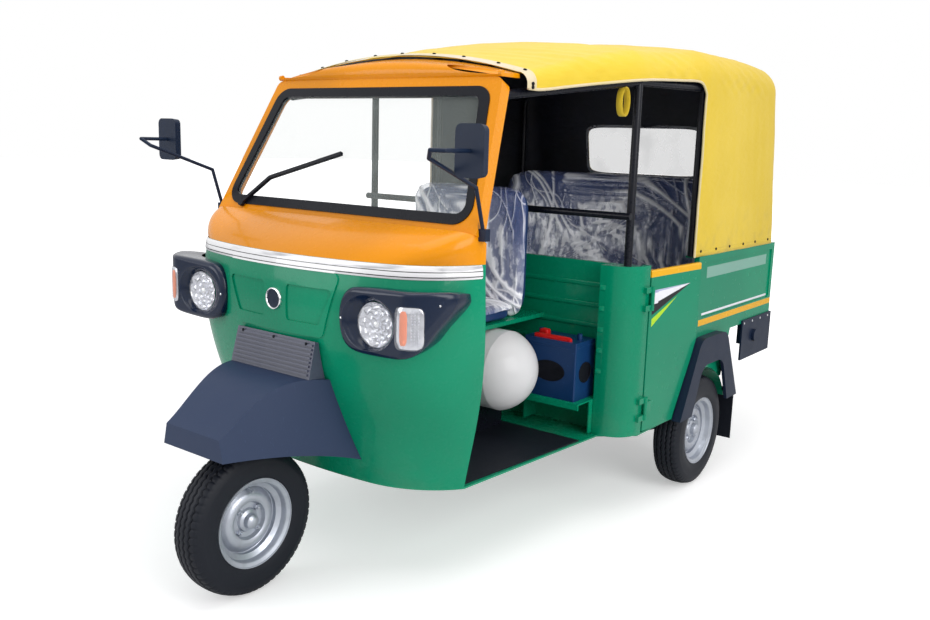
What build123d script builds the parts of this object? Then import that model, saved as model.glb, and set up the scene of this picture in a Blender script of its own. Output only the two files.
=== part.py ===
from build123d import *
import os
from math import asin, cos, radians, sin

os.makedirs("parts", exist_ok=True)

# Three-wheeled passenger auto rickshaw, millimetres.
# Every piece is drawn with Y = 0 over the front axle, Y growing towards the tail, X to the
# vehicle's left and Z = 0 on the ground. save() then moves it to the middle of the vehicle.

# Overall layout
wheelbase = 1885
track = 1308
overrun = 20
seat_gap = 0.3
running_gap = 0.5
door_gap = 6

# Wheels and tyres
tyre_diameter = 480
tyre_width = 120
tyre_radius = tyre_diameter / 2
axle_z = tyre_radius
tyre_tread_half = 43
tyre_belly_radius = 192
bead_gap = 0.8
bead_radius = 128
bead_half_width = 48
rim_flange_radius = 142
rim_half_width = 50
rim_well_radius = 106
rim_sheet = 6
rim_disc_offset = 14
rim_disc_reach = 27
hub_radius = 32
hub_dome_reach = 46
drum_radius = 84
drum_width = 62
stub_radius = 13
lug_circle_radius = 50
lug_radius = 8
lug_height = 14
lug_count = 4

# Steering
rake = 24
column_radius = 25
head_tube_radius = 38
head_tube_start = 330
head_tube_length = 230
crown_start = 262
crown_thickness = 34
fork_side = -104
fork_thickness = 30
fork_crown_boss = 34
fork_pivot_boss = 24
fork_pivot_y = -86
fork_pivot_z = 232
link_boss = 22
link_thickness = 20
link_tail_y = 40
column_top = 858
handlebar_station = 838
handlebar_radius = 12
handlebar_half = 330
handlebar_pull = 110
handlebar_rise_half = 120
grip_radius = 18
grip_length = 125
binnacle_radius = 52
binnacle_depth = 60

# Cab
cab_sill_z = 350
waist_z = 1083
cab_lower_height = waist_z - cab_sill_z
cab_nose_y = 135
cab_depth = 290
cab_half_width = 605
cab_wall = 14
emboss_height = 5
cowl_wall = 26
cowl_height = 108
windshield_foot_y = 390
windshield_foot_z = 1195
windshield_head_y = 590
windshield_head_z = 1613
windshield_foot_half = 570
windshield_head_half = 485
windshield_corner = 62
pillar_depth = 46
pillar_width = 30
pillar_foot_round = 3
frame_foot_depth = 26
frame_head_depth = 34
rubber_width = 34
rubber_thickness = 16
glass_thickness = 5
header_crown_z = 1716
header_rear_y = 700
header_half = 512
header_drop = 58
header_wall = 12

# Front mudguard and ribbed plate
guard_wall = 8
guard_front_y = -191
guard_tail_y = 292
guard_front_half = 126
guard_front_skirt_half = 142
guard_front_top_z = 575
guard_front_skirt_z = 508
plate_top_y = 131
plate_top_z = 824
plate_foot_y = 102
plate_foot_z = 710
plate_top_half = 183
plate_foot_half = 186
plate_thickness = 10
plate_rib_count = 8
plate_rib_height = 5

# Lamps
lamp_x = 412
lamp_y = 146
lamp_z = 912
lamp_radius = 76
lamp_depth = 40
pod_inner_x = 272
pod_outer_x = 636
pod_foot_z = 812
pod_top_z = 1026
pod_front_y = 138
pod_tail_y = 380
indicator_x = 536
indicator_width = 58
indicator_height = 142
badge_radius = 34
badge_z = 938
badge_depth = 12
nose_panel_top_half = 262
nose_panel_foot_half = 198
nose_panel_top_z = 1044
nose_panel_foot_z = 836
nose_panel_round = 24
nose_field_inner_x = 52
nose_field_top_outer_x = 240
nose_field_foot_outer_x = 186
nose_field_top_z = 990
nose_field_foot_z = 876
nose_field_round = 12

# Floor, partition and lower structure
floor_thickness = 6
floor_tail_y = 1765
mat_thickness = 5
rail_x = 230
rail_width = 50
rail_height = 80
rail_front_y = 600
rail_tail_y = 2600
rail_wall = 4
partition_wall_y = 1285
partition_thickness = 24
partition_top_z = 1005
post_front_y = 1223
post_rear_y = 1360
post_half = 687
post_inner_half = 550
post_round = 110
sill_rear_half = 575
sill_rear_y = 1221

# Driver's seat, gas cylinder and battery
seat_half = 270
seat_front_y = 790
seat_base_z = 762
seat_base_thickness = 16
seat_leg_radius = 14
seat_leg_inset = 30
cushion_thickness = 70
cushion_front_y = 800
backrest_top_z = 1270
backrest_thickness = 90
backrest_rear_y = 1180
cylinder_radius = 150
cylinder_y = 968
cylinder_z = 605
cylinder_half = 430
cylinder_dome = 110
cradle_width = 50
cradle_x = 200
battery_length = 230
battery_width = 145
battery_height = 225
battery_outer_x = 520
tray_z = 488
tray_thickness = 5
tray_lip = 24
tray_outer_x = 548
tray_length = 300
tray_front_y = 1112

# Hood frame and canopy
tube_radius = 15
pole_x = 640
rear_post_x = 672
hoop_bend = 80
hoop_shoulder_z = 1722
hoop_crown_z = 1798
pole_y = 1262
rear_post_y = 1748
tail_post_y = 2480
rail_head_z = 1668
grab_bar_z = 1190
grab_bar_radius = 13
canopy_wall = 10
canopy_front_y = header_rear_y + seat_gap
canopy_tail_y = 2660
canopy_foot_z = 1005
canopy_half = 708
canopy_height = 1872
canopy_tail_lean = 150
canopy_tail_round = 150
canopy_corner_round = 90
opening_rear_y = 1722
rear_window_half = 320
rear_window_foot_z = 1302
rear_window_height = 238
rear_window_round = 40
film_thickness = 3

# Rear body
body_half = 702
body_wall = 22
body_foot_z = 652
side_front_y = 1768
tail_y = 2648
recess_depth = 6
recess_margin = 30
ledge_width = 50
ledge_thickness = 8
liner_clearance = 36
liner_radius = tyre_radius + liner_clearance
tail_field_half = 480
louvre_length = 150
louvre_pitch = 22
louvre_columns = 4
louvre_rows = 4
plate_bolt_pitch = 150
plate_bolt_radius = 3.5
plate_bolt_z = 890
arch_round = 75
arch_flange = 14
arch_skin = 14
arch_leg = 112
fuel_cap_y = 2440
fuel_cap_z = 580
fuel_cap_radius = 28
arch_center_y = 1906
arch_reach = 740
arch_band = 118
arch_top_z = 664
arch_foot_z = 345
arch_foot_half = 298
arch_head_half = 134
liner_thickness = 5
liner_inner_x = 560
flap_thickness = 6
flap_foot_z = 130
flap_width = 130
guard_plate_front_y = 2292
guard_plate_foot_z = 480
guard_plate_thickness = 8
guard_plate_wrap = 150
tail_lamp_width = 70
tail_lamp_height = 190
tail_lamp_depth = 26
tail_lamp_x = 630
tail_lamp_z = 760

# Bench
bench_half = 572
bench_front_y = 1738
bench_rear_y = 2290
bench_top_z = 690
bench_sheet = 16
bench_cushion_thickness = 110
bench_back_thickness = 120
bench_back_top_z = 1300
bench_back_rear_y = 2300
bench_setback = 70

# Engine and rear suspension
engine_width = 380
engine_length = 440
engine_height = 330
engine_y = 2012
engine_foot_z = 215
arm_x = 488
arm_thickness = 44
arm_pivot_y = 1480
arm_pivot_z = 300
arm_boss = 36
pivot_tube_radius = 24
shock_y = 1830
shock_foot_z = 330
shock_head_z = 640
spring_radius = 38
spring_turns = 8
shock_rod_radius = 12
drive_shaft_radius = 15

# Half door
door_front_y = post_rear_y + door_gap
door_rear_y = 1758
door_top_z = 985
door_foot_z = 356
door_thickness = 22
door_front_x = 690
door_rear_x = 716
door_hinge_x = 700
hinge_barrel_radius = 8
hinge_barrel_length = 46
hinge_leaf_thickness = 14
hinge_leaf_length = 50
post_knuckle_length = 22
hinge_heights = (450, 880)

# Mirrors and wiper
mirror_x = 684
mirror_y = 236
mirror_z = 1418
mirror_width = 100
mirror_height = 146
mirror_depth = 24
mirror_arm_radius = 6
mirror_foot_y = 405
mirror_foot_z = 1172
mirror_foot_x = 608
mirror_rise = 140
mirror_reach = 285
mirror_loop = 44
dash_half = 540
dash_depth = 60
wiper_pivot_x = -470
wiper_length = 420
wiper_radius = 6


front_axle_y = -(tail_y + seat_gap + tail_lamp_depth - tyre_radius) / 2


def save(piece, name):
    """Label a finished piece, move it to the vehicle's middle and write it."""
    placed = piece.part.moved(Location((0, front_axle_y, 0)))
    placed.label = name
    export_step(placed, f"parts/{name}.step")


def steer_plane(station):
    """Plane across the raked steering axis, at a distance up from the wheel's centre."""
    lean = radians(rake)
    return Plane(
        origin=(0, station * sin(lean), axle_z + station * cos(lean)),
        x_dir=(1, 0, 0),
        z_dir=(0, sin(lean), cos(lean)),
    )


def across(y):
    """Upright plane across the vehicle at a distance behind the front axle."""
    return Plane.XZ.offset(-y)


def tube(start, end, radius):
    """A round bar between two points."""
    with BuildPart() as bar:
        with BuildLine():
            path = Line(start, end)
        with BuildSketch(Plane(origin=path @ 0, z_dir=path % 0)):
            Circle(radius)
        sweep(path=path)
    return bar.part


# The cab's plan at five heights, as shares of the cab's sizes.
# Columns: height, nose, half width where the brow ends, brow's end, half width at the post, post.
cab_plan_shares = [
    (0.000, 0.500, 0.436, 0.552, 0.868, 1.110),
    (0.177, 0.355, 0.512, 0.438, 0.917, 1.086),
    (0.368, 0.183, 0.587, 0.314, 0.964, 1.069),
    (0.614, 0.024, 0.645, 0.197, 1.000, 1.034),
    (1.000, 0.052, 0.661, 0.241, 1.000, 1.000),
]


def cab_outline(z, nose_y, brow_half, brow_y, post_half_width, post_y, tail):
    """One level of the cab: a shallow brow arc, two round corners and a straight back."""
    with BuildSketch(Plane.XY.offset(z)) as outline:
        with BuildLine():
            brow = ThreePointArc((-brow_half, brow_y), (0, nose_y), (brow_half, brow_y))
            TangentArc((brow_half, brow_y), (post_half_width, post_y), tangent=brow % 1)
            TangentArc((-brow_half, brow_y), (-post_half_width, post_y), tangent=(brow % 0) * -1)
            back = [(post_half_width, post_y), (-post_half_width, post_y)]
            if tail > 0:
                back[1:1] = [(post_half_width, post_y + tail), (-post_half_width, post_y + tail)]
            Polyline(*back)
        make_face()
    return outline.sketch


def cab_form(inset, tail):
    """The lower cab as a closed form, drawn in by an inset."""
    with BuildPart() as form:
        loft(
            [
                cab_outline(
                    cab_sill_z + height * cab_lower_height,
                    cab_nose_y + nose * cab_depth + inset,
                    brow_half * cab_half_width - inset / 2,
                    cab_nose_y + brow * cab_depth + inset,
                    post * cab_half_width - inset,
                    cab_nose_y + post_back * cab_depth,
                    tail,
                )
                for height, nose, brow_half, brow, post, post_back in cab_plan_shares
            ]
        )
    return form.part


# Wheels

def tyre_ring(center):
    """A tyre about the X axis: tread, bulging side walls and a bead seat."""
    half_profile = [
        (tyre_tread_half, tyre_radius),
        (tyre_width / 2, tyre_belly_radius),
        (bead_half_width - rim_sheet, bead_radius + bead_gap),
    ]
    with BuildPart() as ring:
        with BuildSketch(Plane.XY):
            with BuildLine():
                Polyline(
                    *half_profile,
                    *[(-x, radius) for x, radius in reversed(half_profile)],
                    close=True,
                )
            make_face()
        revolve(axis=Axis.X)
    ring.part.position = center
    return ring


# The dished disc from the rim's well to the hub.
# Columns: share of the disc's reach outwards, share of the well's radius.
rim_disc_shares = [
    (0.00, 1.000),
    (0.80, 0.870),
    (1.00, 0.710),
    (0.90, 0.590),
    (0.52, 0.530),
    (0.52, 0.320),
]


def wheel_rim(center, side):
    """A pressed steel rim about the X axis, its dished disc and dome on the outer side."""
    with BuildPart() as rim:
        with BuildSketch(Plane.XY):
            with BuildLine() as barrel:
                Polyline(
                    (-rim_half_width - rim_sheet / 2, rim_flange_radius),
                    (-rim_half_width, bead_radius - rim_sheet / 2),
                    (-rim_half_width / 2, bead_radius - rim_sheet / 2),
                    (-rim_half_width / 3, rim_well_radius),
                    (rim_half_width / 3, rim_well_radius),
                    (rim_half_width / 2, bead_radius - rim_sheet / 2),
                    (rim_half_width, bead_radius - rim_sheet / 2),
                    (rim_half_width + rim_sheet / 2, rim_flange_radius),
                )
            trace(barrel.line, line_width=rim_sheet)
            with BuildLine() as disc:
                Polyline(
                    *[
                        (out * rim_disc_reach, along * rim_well_radius)
                        for out, along in rim_disc_shares
                    ]
                )
            trace(disc.line, line_width=rim_sheet)
        revolve(axis=Axis.X)
        with BuildSketch(Plane.XY):
            with BuildLine():
                Polyline(
                    (-drum_width + rim_disc_offset, stub_radius + running_gap),
                    (hub_dome_reach / 2, stub_radius + running_gap),
                    (hub_dome_reach / 2, 0),
                    (hub_dome_reach, 0),
                )
                ThreePointArc(
                    (hub_dome_reach, 0),
                    (hub_dome_reach - hub_radius / 10, hub_radius / 2),
                    (rim_disc_offset, hub_radius + rim_sheet),
                )
                Polyline(
                    (rim_disc_offset, hub_radius + rim_sheet),
                    (rim_disc_offset - rim_sheet, drum_radius),
                    (-drum_width + rim_disc_offset, drum_radius),
                    (-drum_width + rim_disc_offset, stub_radius + running_gap),
                )
            make_face()
        revolve(axis=Axis.X)
        with BuildSketch(Plane.YZ.offset(rim_disc_offset)):
            with PolarLocations(lug_circle_radius, lug_count):
                RegularPolygon(lug_radius, 6)
        extrude(amount=lug_height)
        if side < 0:
            mirror(about=Plane.YZ, mode=Mode.REPLACE)
    rim.part.position = center
    return rim


# Columns: name, centre across, centre along, outer side.
wheel_table = [
    ("front", 0, 0, 1),
    ("rear_left", track / 2, wheelbase, 1),
    ("rear_right", -track / 2, wheelbase, -1),
]
for wheel_name, wheel_x, wheel_y, wheel_side in wheel_table:
    save(tyre_ring((wheel_x, wheel_y, axle_z)), f"{wheel_name}_tyre")
    save(wheel_rim((wheel_x, wheel_y, axle_z), wheel_side), f"{wheel_name}_rim")

# Steering column, one-sided fork, trailing link and stub axle
with BuildPart() as steering_fork:
    with BuildSketch(steer_plane(crown_start)):
        Circle(column_radius)
    extrude(amount=column_top - crown_start)
    with BuildSketch(steer_plane(crown_start)):
        with BuildLine():
            Polyline(
                (column_radius, -column_radius),
                (column_radius, column_radius),
                (fork_side - fork_thickness / 2, column_radius),
                (fork_side - fork_thickness / 2, -column_radius),
                close=True,
            )
        make_face()
    extrude(amount=crown_thickness)
    crown_center = steer_plane(crown_start + crown_thickness / 2).origin
    with BuildSketch(Plane.YZ.offset(fork_side - fork_thickness / 2)):
        with Locations((crown_center.Y, crown_center.Z)):
            Circle(fork_crown_boss)
        with Locations((fork_pivot_y, fork_pivot_z)):
            Circle(fork_pivot_boss)
        make_hull()
    extrude(amount=fork_thickness)
    with BuildSketch(Plane.YZ.offset(fork_side + fork_thickness / 2)):
        with Locations((fork_pivot_y, fork_pivot_z), (link_tail_y, axle_z)):
            Circle(link_boss)
        make_hull()
    extrude(amount=link_thickness)
    with BuildSketch(Plane.YZ.offset(fork_side + fork_thickness / 2)):
        with Locations((0, axle_z)):
            Circle(stub_radius)
    extrude(amount=-fork_side - fork_thickness / 2 + hub_dome_reach / 4)
save(steering_fork, "steering_fork")

# Front spring and damper, outside the fork
with BuildPart() as front_shock:
    shock_x = fork_side - fork_thickness / 2 - spring_radius - seat_gap
    shock_plane = Plane(
        origin=(shock_x, link_tail_y / 2, axle_z),
        z_dir=(0, sin(radians(rake)), cos(radians(rake))),
    )
    with BuildSketch(shock_plane):
        Circle(shock_rod_radius)
    extrude(amount=crown_start)
    for turn in range(spring_turns):
        with BuildSketch(shock_plane.offset(crown_start * (turn + 1) / (spring_turns + 2))):
            Circle(spring_radius)
        extrude(amount=crown_start / (spring_turns + 2) / 2)
    for end_z in (0, crown_start):
        with BuildSketch(Plane.YZ.offset(shock_x)):
            with Locations(
                (
                    link_tail_y / 2 + end_z * sin(radians(rake)),
                    axle_z + end_z * cos(radians(rake)),
                )
            ):
                Circle(shock_rod_radius * 1.2)
        extrude(amount=spring_radius)
save(front_shock, "front_shock")

# Handlebar with grips and a small instrument binnacle
with BuildPart() as handlebar:
    bar_plane = steer_plane(handlebar_station)
    with BuildSketch(bar_plane.offset(-handlebar_radius)):
        Circle(column_radius + grip_radius)
        Circle(column_radius + seat_gap, mode=Mode.SUBTRACT)
    extrude(amount=2 * handlebar_radius)
    bar_edge = column_radius + handlebar_radius
    for side in (-1, 1):
        stations = [
            (side * bar_edge, 0, 0),
            (side * handlebar_rise_half, 0, 0),
            (side * (handlebar_half - grip_length), handlebar_pull, 0),
            (side * handlebar_half, handlebar_pull, 0),
        ]
        points = [bar_plane.from_local_coords(Vector(*station)) for station in stations]
        for index, radius in enumerate((handlebar_radius, handlebar_radius, grip_radius)):
            add(tube(points[index], points[index + 1], radius))
    with BuildSketch(bar_plane.offset(handlebar_radius)):
        Circle(binnacle_radius)
    extrude(amount=binnacle_depth, taper=8)
    with BuildSketch(bar_plane.offset(handlebar_radius)):
        Circle(column_radius + seat_gap)
    extrude(amount=column_top - handlebar_station, mode=Mode.SUBTRACT)
save(handlebar, "handlebar")

# Head tube and the neck that ties it to the floor frame
with BuildPart() as steering_head:
    with BuildSketch(steer_plane(head_tube_start)):
        Circle(head_tube_radius)
    extrude(amount=head_tube_length)
    head_top = steer_plane(head_tube_start + head_tube_length).origin
    with BuildSketch(Plane.YZ):
        with BuildLine():
            Polyline(
                (cab_nose_y + cab_depth * 0.60, cab_sill_z),
                (cab_nose_y + cab_depth * 0.86, cab_sill_z),
                (head_top.Y + head_tube_radius * 2, head_top.Z - head_tube_radius),
                (head_top.Y, head_top.Z - head_tube_radius),
                (head_top.Y - head_tube_radius / 3, head_top.Z - 3 * head_tube_radius),
                close=True,
            )
        make_face()
    extrude(amount=head_tube_radius, both=True)
    with BuildSketch(steer_plane(head_tube_start - overrun)):
        Circle(column_radius + running_gap)
    extrude(amount=head_tube_length + 3 * overrun, mode=Mode.SUBTRACT)
save(steering_head, "steering_head")

# Lower cab: pressed shell with a raised nose panel, open at the back for the driver's doorways
with BuildPart() as nose_panel:
    add(cab_form(-emboss_height, 0))
    with BuildSketch(across(0)) as nose_face:
        with BuildLine():
            Polyline(
                (-nose_panel_foot_half, nose_panel_foot_z),
                (nose_panel_foot_half, nose_panel_foot_z),
                (nose_panel_top_half, nose_panel_top_z),
                (-nose_panel_top_half, nose_panel_top_z),
                close=True,
            )
        make_face()
        fillet(nose_face.vertices(), nose_panel_round)
        with BuildSketch(across(0), mode=Mode.PRIVATE) as nose_field:
            with BuildLine():
                Polyline(
                    (nose_field_inner_x, nose_field_foot_z),
                    (nose_field_foot_outer_x, nose_field_foot_z),
                    (nose_field_top_outer_x, nose_field_top_z),
                    (nose_field_inner_x, nose_field_top_z),
                    close=True,
                )
            make_face()
            fillet(nose_field.vertices(), nose_field_round)
        add(nose_field.sketch, mode=Mode.SUBTRACT)
        add(mirror(nose_field.sketch, about=Plane.YZ, mode=Mode.PRIVATE), mode=Mode.SUBTRACT)
    extrude(amount=-cab_nose_y - cab_depth / 3, mode=Mode.INTERSECT)
with BuildPart() as cab_lower_shell:
    add(cab_form(0, 0))
    add(nose_panel.part)
    add(cab_form(cab_wall, overrun), mode=Mode.SUBTRACT)
    with BuildSketch(steer_plane(head_tube_start)):
        Circle(head_tube_radius + running_gap)
    extrude(amount=head_tube_length + overrun, mode=Mode.SUBTRACT)
save(cab_lower_shell, "cab_lower_shell")

# The windshield's plane: its foot is the lower edge of the rubber, its local Y runs up the glass
windshield_rise = Vector(
    0, windshield_head_y - windshield_foot_y, windshield_head_z - windshield_foot_z
)
windshield_height = windshield_rise.length
windshield_plane = Plane(
    origin=(0, windshield_foot_y, windshield_foot_z),
    x_dir=(1, 0, 0),
    z_dir=Vector(1, 0, 0).cross(windshield_rise),
)


def windshield_outline(grow, foot_grow, head_grow, corner, foot_corner):
    """The windshield's trapezium in its own plane, grown past the rubber's outer edge."""
    with BuildSketch() as outline:
        with BuildLine():
            Polyline(
                (-windshield_foot_half - grow, -foot_grow),
                (windshield_foot_half + grow, -foot_grow),
                (windshield_head_half + grow, windshield_height + head_grow),
                (-windshield_head_half - grow, windshield_height + head_grow),
                close=True,
            )
        make_face()
        fillet(outline.vertices().group_by(Axis.Y)[-1], corner)
        fillet(outline.vertices().group_by(Axis.Y)[0], foot_corner)
    return outline.sketch


# Cowl between the waist and the windshield's foot
cowl_plan_shares = [
    # height, nose, brow half, brow, post half, post
    (0.000, 0.052, 0.661, 0.241, 1.000, 1.000),
    (0.480, 0.300, 0.780, 0.440, 0.990, 1.030),
    (1.000, 0.840, 0.900, 0.860, 0.975, 1.080),
]


def cowl_form(inset, tail):
    """The cowl as a closed form, drawn in by an inset."""
    with BuildPart() as form:
        loft(
            [
                cab_outline(
                    waist_z + height * cowl_height,
                    cab_nose_y + nose * cab_depth + inset,
                    brow_half * cab_half_width - inset / 2,
                    cab_nose_y + brow * cab_depth + inset,
                    post * cab_half_width - inset * cab_wall / cowl_wall,
                    cab_nose_y + post_back * cab_depth,
                    tail,
                )
                for height, nose, brow_half, brow, post, post_back in cowl_plan_shares
            ]
        )
    return form.part


with BuildPart() as cab_cowl:
    add(cowl_form(0, 0))
    add(cowl_form(cowl_wall, overrun), mode=Mode.SUBTRACT)
    with BuildSketch(
        Plane(
            origin=windshield_plane.from_local_coords(Vector(0, -frame_foot_depth, 0)),
            x_dir=(1, 0, 0),
            z_dir=windshield_rise,
        )
    ):
        Rectangle(4 * cab_half_width, 4 * cab_half_width)
    extrude(amount=cab_half_width, mode=Mode.SUBTRACT)
save(cab_cowl, "cab_cowl")

# Windshield surround with its side pillars
with BuildPart() as windshield_frame:
    with BuildSketch(windshield_plane):
        add(
            windshield_outline(
                pillar_width, frame_foot_depth, frame_head_depth, pillar_width, pillar_foot_round
            )
        )
        add(windshield_outline(0, 0, 0, windshield_corner, windshield_corner), mode=Mode.SUBTRACT)
    extrude(amount=-pillar_depth)
save(windshield_frame, "windshield_frame")

with BuildPart() as windshield_rubber:
    with BuildSketch(windshield_plane.offset(rubber_thickness / 4)):
        outer_corner = windshield_corner - seat_gap
        inner_corner = windshield_corner / 2
        add(windshield_outline(-seat_gap, -seat_gap, -seat_gap, outer_corner, outer_corner))
        add(
            windshield_outline(
                -rubber_width, -rubber_width, -rubber_width, inner_corner, inner_corner
            ),
            mode=Mode.SUBTRACT,
        )
    extrude(amount=-rubber_thickness)
save(windshield_rubber, "windshield_rubber")

with BuildPart() as windshield_glass:
    glass_inset = rubber_width + seat_gap
    with BuildSketch(windshield_plane.offset(-rubber_thickness / 4)):
        add(
            windshield_outline(
                -glass_inset, -glass_inset, -glass_inset, windshield_corner / 2, windshield_corner / 2
            )
        )
    extrude(amount=-glass_thickness)
save(windshield_glass, "windshield_glass")

# Roof header: a curved visor from the windshield's head back to the hood's front edge
header_foot = windshield_plane.from_local_coords(
    Vector(0, windshield_height + frame_head_depth, 0)
)


def header_section(x, drop, inset, tail):
    """The visor's cut at one place across the cab, closed downwards."""
    height = header_crown_z + drop - header_foot.Z - inset
    with BuildSketch(Plane.YZ.offset(x)) as section:
        with BuildLine():
            nose = ThreePointArc(
                (header_foot.Y + inset, header_foot.Z),
                (header_foot.Y + inset - header_wall / 2, header_foot.Z + height / 3),
                (header_foot.Y + inset + header_wall, header_foot.Z + height * 3 / 4),
            )
            Polyline(
                nose @ 1,
                (header_rear_y + tail, header_foot.Z + height),
                (header_rear_y + tail, header_foot.Z - tail),
                (header_foot.Y + inset, header_foot.Z - tail),
            )
            if tail > 0:
                Line((header_foot.Y + inset, header_foot.Z - tail), nose @ 0)
        make_face()
    return section.sketch


# Columns: place across as a share of the half width, how much of the drop is taken.
header_shares = [(-1, 1), (0, 0), (1, 1)]


def header_form(inset, tail):
    """The visor as a closed form from side to side."""
    with BuildPart() as form:
        loft(
            [
                header_section(share * (header_half - inset), -drop * header_drop, inset, tail)
                for share, drop in header_shares
            ]
        )
    return form.part


with BuildPart() as cab_roof:
    add(header_form(0, 0))
    add(header_form(header_wall, overrun), mode=Mode.SUBTRACT)
save(cab_roof, "cab_roof")

# Front mudguard: a tapering box open below, fitted to the cab's nose
# Columns: station, top half width, skirt half width, top height, skirt height.
guard_size = guard_tail_y - guard_front_y
guard_skirt_fall = (guard_front_top_z - guard_front_skirt_z) * 3 / 2
guard_shares = [
    (0.00, 1.000, 1.000, 0.000, 0.000),
    (0.16, 1.060, 1.120, 0.410, -0.050),
    (0.32, 1.160, 1.260, 0.790, -0.120),
    (0.60, 1.450, 1.480, 1.000, -0.340),
    (1.00, 1.480, 1.800, 1.000, -0.900),
]


def guard_form(inset):
    """The mudguard's outside, or its inside when drawn in by an inset."""
    rise = plate_foot_z - guard_front_top_z
    spill = overrun if inset > 0 else 0
    with BuildPart() as form:
        sections = []
        for station, top_half, skirt_half, top, skirt in guard_shares:
            slide = inset if station == 0 else 0
            top_z = guard_front_top_z + top * rise - inset
            skirt_z = guard_front_skirt_z + skirt * guard_skirt_fall - spill
            with BuildSketch(across(guard_front_y + station * guard_size + slide)) as section:
                with BuildLine():
                    Polyline(
                        (-top_half * guard_front_half + inset, top_z),
                        (top_half * guard_front_half - inset, top_z),
                        (skirt_half * guard_front_skirt_half - inset, skirt_z),
                        (-skirt_half * guard_front_skirt_half + inset, skirt_z),
                        close=True,
                    )
                make_face()
            sections.append(section.sketch)
        loft(sections)
    return form.part


with BuildPart() as front_mudguard:
    add(guard_form(0))
    add(guard_form(guard_wall), mode=Mode.SUBTRACT)
    add(cab_form(-seat_gap, 0), mode=Mode.SUBTRACT)
    with BuildSketch(steer_plane(crown_start)):
        Circle(head_tube_radius + running_gap)
    extrude(amount=head_tube_length * 2, mode=Mode.SUBTRACT)
save(front_mudguard, "front_mudguard")

# Ribbed plate between the mudguard and the nose panel
plate_rise = Vector(0, plate_top_y - plate_foot_y, plate_top_z - plate_foot_z)
plate_plane = Plane(
    origin=(0, plate_foot_y, plate_foot_z + seat_gap),
    x_dir=(1, 0, 0),
    z_dir=Vector(1, 0, 0).cross(plate_rise),
)
with BuildPart() as ribbed_plate:
    with BuildSketch(plate_plane):
        with BuildLine():
            Polyline(
                (-plate_foot_half, 0),
                (plate_foot_half, 0),
                (plate_top_half, plate_rise.length),
                (-plate_top_half, plate_rise.length),
                close=True,
            )
        make_face()
    extrude(amount=-plate_thickness * 8)
    rib_pitch = plate_rise.length / (plate_rib_count + 1)
    with BuildSketch(plate_plane):
        with Locations([(0, rib_pitch * (rib + 1)) for rib in range(plate_rib_count)]):
            Rectangle(2 * plate_top_half - rib_pitch, rib_pitch / 2)
    extrude(amount=plate_rib_height)
    add(cab_form(-emboss_height - seat_gap, 0), mode=Mode.SUBTRACT)
    add(guard_form(-seat_gap), mode=Mode.SUBTRACT)
save(ribbed_plate, "ribbed_plate")

# Headlamp pods: a moulded cover on each corner of the nose
# Columns: share across from the inner end, share back from the front face, corner radius share.
pod_plan_shares = [
    (0.000, 0.300, 0.020),
    (0.060, 0.000, 0.080),
    (0.660, 0.000, 0.250),
    (1.000, 0.420, 0.060),
    (1.000, 0.680, 0.060),
    (0.700, 0.900, 0.060),
]
# Columns: share across from the inner end, share up from the foot, corner radius share.
pod_face_shares = [
    (0.000, 0.000, 0.230),
    (0.720, 0.000, 0.130),
    (0.860, 0.480, 0.060),
    (1.000, 0.640, 0.060),
    (1.000, 1.000, 0.060),
    (0.000, 0.900, 0.180),
]
pod_width = pod_outer_x - pod_inner_x
pod_depth = pod_tail_y - pod_front_y
pod_height = pod_top_z - pod_foot_z
with BuildPart() as one_pod:
    with BuildSketch(Plane.XY.offset(pod_foot_z - overrun)):
        with BuildLine():
            FilletPolyline(
                *[
                    (pod_inner_x + pod_width * out, pod_front_y + pod_depth * back)
                    for out, back, corner in pod_plan_shares
                ],
                radius=[pod_width * corner for out, back, corner in pod_plan_shares],
                close=True,
            )
        make_face()
    extrude(amount=pod_height + 2 * overrun)
    with BuildSketch(across(pod_front_y - overrun)):
        with BuildLine():
            FilletPolyline(
                *[
                    (pod_inner_x + pod_width * out, pod_foot_z + pod_height * up)
                    for out, up, corner in pod_face_shares
                ],
                radius=[pod_width * corner for out, up, corner in pod_face_shares],
                close=True,
            )
        make_face()
    extrude(amount=-pod_depth - 2 * overrun, mode=Mode.INTERSECT)
    add(cab_form(-seat_gap, 0), mode=Mode.SUBTRACT)
    with BuildSketch(across(pod_front_y - overrun)):
        with Locations((lamp_x, lamp_z)):
            Circle(lamp_radius + seat_gap)
        with Locations((indicator_x, lamp_z)):
            RectangleRounded(
                indicator_width + 2 * seat_gap, indicator_height + 2 * seat_gap, lamp_radius / 6
            )
    extrude(amount=-overrun - lamp_depth, mode=Mode.SUBTRACT)
with BuildPart() as headlamp_pods:
    add(one_pod.part)
    mirror(about=Plane.YZ)
save(headlamp_pods, "headlamp_pods")

# Headlamp and indicator lenses
with BuildPart() as headlamps:
    for side in (-1, 1):
        with BuildSketch(across(lamp_y)):
            with Locations((side * lamp_x, lamp_z)):
                Circle(lamp_radius)
            with Locations((side * indicator_x, lamp_z)):
                RectangleRounded(indicator_width, indicator_height, lamp_radius / 6)
        extrude(amount=-lamp_depth / 2)
    add(cab_form(-seat_gap, 0), mode=Mode.SUBTRACT)
save(headlamps, "headlamps")

# Plain round cap on the nose panel
with BuildPart() as nose_cap:
    with BuildSketch(across(cab_nose_y - badge_depth)):
        with Locations((0, badge_z)):
            Circle(badge_radius)
    extrude(amount=-3 * badge_depth, taper=-8)
    add(cab_form(-emboss_height - seat_gap, 0), mode=Mode.SUBTRACT)
save(nose_cap, "nose_cap")

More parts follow.
